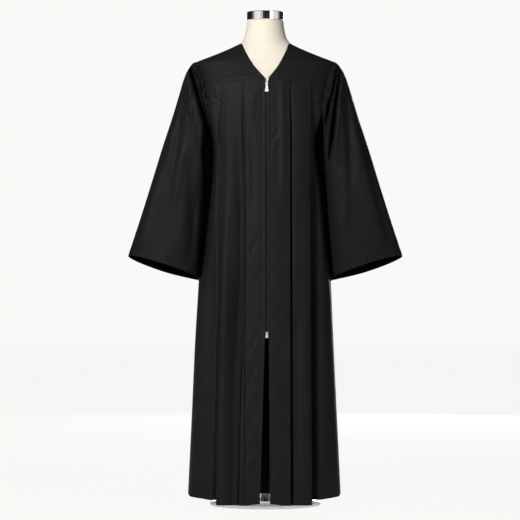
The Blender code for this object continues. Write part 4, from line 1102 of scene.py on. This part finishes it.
# broad soft patches and a finer mottle, for colour and roughness that vary over a surface
def makePatchGroup():
    group, given, out = newGroup(
        "softPatches",
        [("Broad", "NodeSocketFloat", 6.0), ("Fine", "NodeSocketFloat", 90.0)],
        [("Patches", "NodeSocketFloat"), ("Mottle", "NodeSocketFloat")],
    )
    place = group.nodes.new("ShaderNodeTexCoord")
    for label, key in (("Patches", "Broad"), ("Mottle", "Fine")):
        noise = group.nodes.new("ShaderNodeTexNoise")
        noise.inputs["Detail"].default_value = 3.0
        group.links.new(place.outputs["Object"], noise.inputs["Vector"])
        group.links.new(given.outputs[key], noise.inputs["Scale"])
        group.links.new(noise.outputs[0], out.inputs[label])
    return group


weaveGroup = makeWeaveGroup()
patchGroup = makePatchGroup()


def startFinish(name):
    finish = bpy.data.materials.new(name)
    finish.use_nodes = True
    return finish, finish.node_tree, finish.node_tree.nodes["Principled BSDF"]


def groupNode(tree, group, **values):
    node = tree.nodes.new("ShaderNodeGroup")
    node.node_tree = group
    for label, value in values.items():
        node.inputs[label].default_value = value
    return node


def twoTone(tree, mask, low, high, lowAt=0.35, highAt=0.65):
    ramp = tree.nodes.new("ShaderNodeValToRGB")
    ramp.color_ramp.elements[0].position = lowAt
    ramp.color_ramp.elements[1].position = highAt
    ramp.color_ramp.elements[0].color = (*low, 1)
    ramp.color_ramp.elements[1].color = (*high, 1)
    tree.links.new(mask, ramp.inputs[0])
    return ramp.outputs[0]


def spread(tree, mask, low, high):
    return mapRange(tree, mask, 0.3, 0.7, low, high)


# colour and roughness that vary with two masks
def coloured(tree, shader, mask, mottle, look):
    tree.links.new(twoTone(tree, mask, look["low"], look["high"]), shader.inputs["Base Color"])
    tree.links.new(spread(tree, mottle, *look["roughness"]), shader.inputs["Roughness"])


# stack bumps: (height, distance, strength) from coarse to fine
def bumped(tree, shader, layers):
    normal = None
    for height, distance, strength in layers:
        bump = tree.nodes.new("ShaderNodeBump")
        bump.inputs["Distance"].default_value = distance
        bump.inputs["Strength"].default_value = strength
        tree.links.new(height, bump.inputs["Height"])
        if normal:
            tree.links.new(normal, bump.inputs["Normal"])
        normal = bump.outputs[0]
    tree.links.new(normal, shader.inputs["Normal"])


# cloth whose threads follow its own flat cut
def startWoven(name, look):
    finish, tree, shader = startFinish(name)
    place = tree.nodes.new("ShaderNodeUVMap")
    place.uv_map = "cut"
    weave = groupNode(tree, weaveGroup, Threads=look["threads"], Slub=look["slub"])
    tree.links.new(place.outputs[0], weave.inputs["Place"])
    return finish, tree, shader, weave


robeCloth = {
    "low": (0.0085, 0.0085, 0.0086),
    "high": (0.0110, 0.0109, 0.0109),
    # colour of the inner faces: painted shade, so the insides of the sleeves, slit and hem read as shadowed
    "paintedInsideShade": (0.0012, 0.0012, 0.0012),
    "roughness": (0.56, 0.64),
    "threads": 1500.0,
    "slub": 0.5,
    "broad": 7.0,
    "fine": 38.0,
    "weaveDepth": 0.00012,
    "rumple": 0.0010,
    "sheen": 0.004,
    "gloss": 0.12,
}


def makeCloth():
    finish, tree, shader, weave = startWoven("robeCloth", robeCloth)
    patches = groupNode(tree, patchGroup, Broad=robeCloth["broad"], Fine=robeCloth["fine"])
    insideShadeMask = tree.nodes.new("ShaderNodeAttribute")
    insideShadeMask.attribute_name = "paintedInsideShade"
    tones = twoTone(tree, patches.outputs["Patches"], robeCloth["low"], robeCloth["high"])
    # the inner faces take the dark inside colour, which is painted shade; they are also made fully rough
    sides = tree.nodes.new("ShaderNodeMix")
    sides.data_type = "RGBA"
    sides.inputs["B"].default_value = (*robeCloth["paintedInsideShade"], 1)
    tree.links.new(insideShadeMask.outputs["Fac"], sides.inputs["Factor"])
    tree.links.new(tones, sides.inputs["A"])
    tree.links.new(sides.outputs["Result"], shader.inputs["Base Color"])
    rough = spread(tree, patches.outputs["Mottle"], *robeCloth["roughness"])
    tree.links.new(mathNode(tree, "MAXIMUM", rough, insideShadeMask.outputs["Fac"]), shader.inputs["Roughness"])
    shader.inputs["Sheen Weight"].default_value = robeCloth["sheen"]
    shader.inputs["Sheen Roughness"].default_value = 0.45
    shader.inputs["Specular IOR Level"].default_value = robeCloth["gloss"]
    bumped(tree, shader, [
        (patches.outputs["Mottle"], robeCloth["rumple"], 0.5),
        (weave.outputs["Height"], robeCloth["weaveDepth"], 0.6),
    ])
    return finish


formJersey = {
    "low": (0.902, 0.818, 0.686),
    "high": (0.934, 0.855, 0.733),
    "roughness": (0.78, 0.9),
    "threads": 700.0,
    "slub": 0.4,
    "broad": 9.0,
    "fine": 160.0,
    "sheen": 0.1,
    "gloss": 0.3,
}


def makeJersey():
    finish, tree, shader, weave = startWoven("formJersey", formJersey)
    patches = groupNode(tree, patchGroup, Broad=formJersey["broad"], Fine=formJersey["fine"])
    coloured(tree, shader, patches.outputs["Patches"], patches.outputs["Mottle"], formJersey)
    shader.inputs["Sheen Weight"].default_value = formJersey["sheen"]
    shader.inputs["Specular IOR Level"].default_value = formJersey["gloss"]
    bumped(tree, shader, [(weave.outputs["Height"], 0.0002, 0.5)])
    return finish


solids = {
    "chromePlate": {
        "low": (0.78, 0.78, 0.79),
        "high": (0.83, 0.83, 0.83),
        "roughness": (0.09, 0.12),
        "scales": (30.0, 600.0),
        "sockets": {"Metallic": 1.0},
        "bump": (0.00002, 0.2),
    },
    "standPaint": {
        "low": (0.0020, 0.0020, 0.0020),
        "high": (0.0035, 0.0035, 0.0035),
        "roughness": (0.62, 0.8),
        "scales": (14.0, 1400.0),
        "sockets": {"Specular IOR Level": 0.12},
        "bump": (0.0002, 0.4),
    },
    "footGlass": {
        "low": (0.93, 0.97, 0.96),
        "high": (0.95, 0.985, 0.975),
        "roughness": (0.02, 0.05),
        "scales": (6.0, 300.0),
        "sockets": {"Transmission Weight": 1.0, "IOR": 1.5},
    },
    "satinNickel": {
        "low": (0.86, 0.86, 0.85),
        "high": (0.92, 0.92, 0.91),
        "roughness": (0.34, 0.46),
        "scales": (60.0, 1800.0),
        "sockets": {"Metallic": 0.55},
    },
    "zipCoil": {
        "low": (0.005, 0.005, 0.005),
        "high": (0.011, 0.011, 0.011),
        "roughness": (0.45, 0.6),
        "scales": (60.0, 900.0),
        "sockets": {"Specular IOR Level": 0.12},
    },
    "robeThread": {
        "low": (0.007, 0.007, 0.007),
        "high": (0.016, 0.016, 0.016),
        "roughness": (0.4, 0.6),
        "scales": (40.0, 2500.0),
        "mask": "Mottle",
        "sockets": {},
    },
}


def makeSolid(name):
    look = solids[name]
    finish, tree, shader = startFinish(name)
    patches = groupNode(tree, patchGroup, Broad=look["scales"][0], Fine=look["scales"][1])
    mask = patches.outputs[look.get("mask", "Patches")]
    coloured(tree, shader, mask, patches.outputs["Mottle"], look)
    for label, value in look["sockets"].items():
        shader.inputs[label].default_value = value
    if "bump" in look:
        bumped(tree, shader, [(patches.outputs["Mottle"], *look["bump"])])
    return finish


zipTape = {
    "low": (0.005, 0.005, 0.005),
    "high": (0.009, 0.009, 0.009),
    "roughness": (0.65, 0.8),
    "threads": 1100.0,
    "slub": 0.2,
}


def makeTape():
    finish, tree, shader, weave = startWoven("zipTape", zipTape)
    coloured(tree, shader, weave.outputs["Height"], weave.outputs["Slubs"], zipTape)
    bumped(tree, shader, [(weave.outputs["Height"], 0.0003, 0.7)])
    return finish


# making and placing everything

makeCamera()
makeLamps()
makeWorld()
makeFloor()
clothFinish, jerseyFinish = makeCloth(), makeJersey()
chromeFinish, paintFinish = makeSolid("chromePlate"), makeSolid("standPaint")
footFinish, pullFinish = makeSolid("footGlass"), makeSolid("satinNickel")
tapeFinish, coilFinish, threadFinish = makeTape(), makeSolid("zipCoil"), makeSolid("robeThread")
print("stage and finishes ready")


def settle(piece, node=None):
    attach(piece, robeBody)
    if node:
        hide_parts(node)


seams = {  # border, distance in, groove, pucker, how far puckers reach, their period and their slant
    "front": [
        ("first", 0.008, 0.0006, 0.0008, 0.014, 0.0098, 0.9),
        ("bottom", 0.0125, 0.0006, 0.0003, 0.008, 0.011, 0.6),
        ("top", 0.0008, 0.0, 0.0006, 0.012, 0.012, 0.3),
    ],
    "yokeFront": [
        ("first", 0.004, 0.0004, 0.0001, 0.005, 0.01, 0.5),
        ("bottom", 0.0028, 0.0004, 0.0006, 0.013, 0.0125, 0.3),
    ],
    "yokeBack": [
        ("top", 0.004, 0.0003, 0.0001, 0.005, 0.01, 0.5),
        ("bottom", 0.0028, 0.0004, 0.0003, 0.01, 0.021, 0.3),
    ],
    "back": [
        ("bottom", 0.0125, 0.0006, 0.0002, 0.008, 0.012, 0.6),
        ("top", 0.001, 0.0, 0.0004, 0.014, 0.02, 0.2),
    ],
    "sleeve": [
        ("bottom", 0.0125, 0.0007, 0.0009, 0.009, 0.0125, 0.7),
    ],
}


# make one cut piece with its pressed seams and its rows of stitches
def sewPiece(name, kind, grid, node, wrap=False, outward=1):
    grid = sewn(grid, seams[kind], wrap, outward)
    piece, outer, normal = clothShell(name, grid, clothFinish, wrap=wrap, outward=outward)
    if wrap:
        outer, normal = np.concatenate([outer, outer[:, :1]], 1), np.concatenate([normal, normal[:, :1]], 1)
    facing = np.sign(np.einsum("ijk,ijk->ij", normal, outer - np.array([outer[..., 0].mean(), 0, 0])).sum())
    stitched = [seam[:2] for seam in seams[kind] if seam[2]]
    lines = [lineAt(outer, normal * facing, border, distance) for border, distance in stitched]
    threads = stitches(name + "Stitches", lines, threadFinish)
    settle(threads)
    settle(piece, node)


for side, word in ((-1, "right"), (1, "left")):
    sewPiece("robeFront" + word.title(), "front", frontGrid(side), "front_" + word,
             outward=-side)
    sewPiece("robeYokeFront" + word.title(), "yokeFront", yokeFrontGrid(side), "yoke_front_" + word,
             outward=-side)
    sewPiece("robeSleeve" + word.title(), "sleeve", sleeveGrid(side), "sleeve_" + word,
             wrap=True, outward=side)
sewPiece("robeBack", "back", backGrid(), "back")
sewPiece("robeYokeBack", "yokeBack", yokeBackGrid(), "yoke_back",
         outward=-1)
print("robe ready")


# the smooth limbless form: one closed body with a faint seam round its neck
def makeForm():
    grid = formGrid()
    z, columns = grid[..., 2], grid.shape[1]
    dip = formShape["seamDip"] * np.exp(-(((z - formShape["neckSeam"]) / formShape["seamWidth"]) ** 2))
    middle = np.hypot(grid[..., 0], grid[..., 1])
    body = grid.copy()
    body[..., :2] *= (1 - dip / middle)[..., None]
    whole = np.concatenate([body, body[:, :1]], 1)
    u = np.cumsum(np.linalg.norm(np.diff(whole, axis=1), axis=2), 1)
    u = np.concatenate([np.zeros((len(u), 1)), u], 1)
    uv = np.stack([u, whole[..., 2]], -1)
    index = np.arange(body.shape[0] * columns).reshape(body.shape[:2])
    index = np.concatenate([index, index[:, :1]], 1)
    quads, places = quadsOf(index).reshape(-1, 4), quadsOf(uv).reshape(-1, 4, 2)
    form = makeMesh("formTorso", body.reshape(-1, 3), quads, places)
    mesh = bmesh.new()
    mesh.from_mesh(form.data)
    bmesh.ops.holes_fill(mesh, edges=[edge for edge in mesh.edges if edge.is_boundary], sides=0)
    bmesh.ops.recalc_face_normals(mesh, faces=mesh.faces)
    mesh.to_mesh(form.data)
    mesh.free()
    form.data.set_sharp_from_angle(angle=math.radians(50))
    form.data.materials.append(jerseyFinish)
    settle(form, "form_torso")


makeForm()
print("form ready")


# the zip

zipShape = {
    "tapeTop": 1.2630,
    "tapeBottom": 0.5050,
    "tapeWidth": 0.0155,
    "tapeFrom": 0.0026,  # from the zip's middle line to a tape's edge
    "chainTop": 1.2555,
    "chainBottom": 0.5195,
    "pitch": 0.0015,
    "toothReach": 0.0026,
    "toothThick": 0.0011,
    "behind": 0.0024,  # how far the tape's middle lies behind the fronts' middle
}


def zipPoint(x, z, out=0.0):
    return bodyPoint(angleAt(np.asarray(x, float), np.asarray(z, float)), z, out - zipShape["behind"])


def makeZip():
    z = np.linspace(zipShape["tapeTop"], zipShape["tapeBottom"], 330)[:, None]
    for side, word in ((-1, "Right"), (1, "Left")):
        share = np.array([0.0, 0.03, 0.08, 0.2, 0.35, 0.5, 0.65, 0.8, 0.9, 0.97, 1.0])[None, :]
        x = garment["zipX"] + side * (zipShape["tapeFrom"] + zipShape["tapeWidth"] * share)
        rib = 0.00025 * np.exp(-(((share - 0.03) / 0.05) ** 2))
        grid = zipPoint(x + 0 * z, z + 0 * x, rib)
        tape = clothShell("zipTape" + word, grid, tapeFinish, outward=-side)[0]
        settle(tape, "zip_tape_" + word.lower())
    count = int((zipShape["chainTop"] - zipShape["chainBottom"]) / zipShape["pitch"])
    points, quads = [], []
    box = np.array([(0, 3, 2, 1), (4, 5, 6, 7), (0, 1, 5, 4), (1, 2, 6, 5), (2, 3, 7, 6), (3, 0, 4, 7)])
    for i in range(2 * count):
        side = 1 if i % 2 else -1
        z = zipShape["chainTop"] - i * zipShape["pitch"] / 2
        half = zipShape["pitch"] * 0.40
        inner, outer = -0.0006 * side, zipShape["toothReach"] * side * 0.8
        thin = zipShape["toothThick"] / 2
        low, high = z - half * 0.7, z + half * 0.7
        face = ((inner, low), (outer, z - half), (outer, z + half), (inner, high))
        corners = []
        for out in (-thin, thin):
            for x, height in face:
                corners.append(zipPoint(garment["zipX"] + x, height, out + 0.0003))
        quads.append(box + len(points) * 8)
        points.append(np.array(corners))
    chain = makeMesh("zipTeeth", np.concatenate(points), np.concatenate(quads))
    chain.data.set_sharp_from_angle(angle=math.radians(30))
    chain.data.materials.append(coilFinish)
    settle(chain, "zip_chain")


makeZip()
print("zip ready")

carried = {
    "stand_base": footFinish,
    "stand_pole": paintFinish,
    "stand_collar": paintFinish,
    "neck_cap": chromeFinish,
    "zip_slider_upper": pullFinish,
    "zip_slider_lower": chromeFinish,
    "zip_pull_upper": pullFinish,
    "zip_pull_lower": pullFinish,
}
for node, finish in carried.items():
    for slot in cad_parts[node].material_slots:
        slot.material = finish

bpy.context.scene.view_settings.view_transform = "Standard"
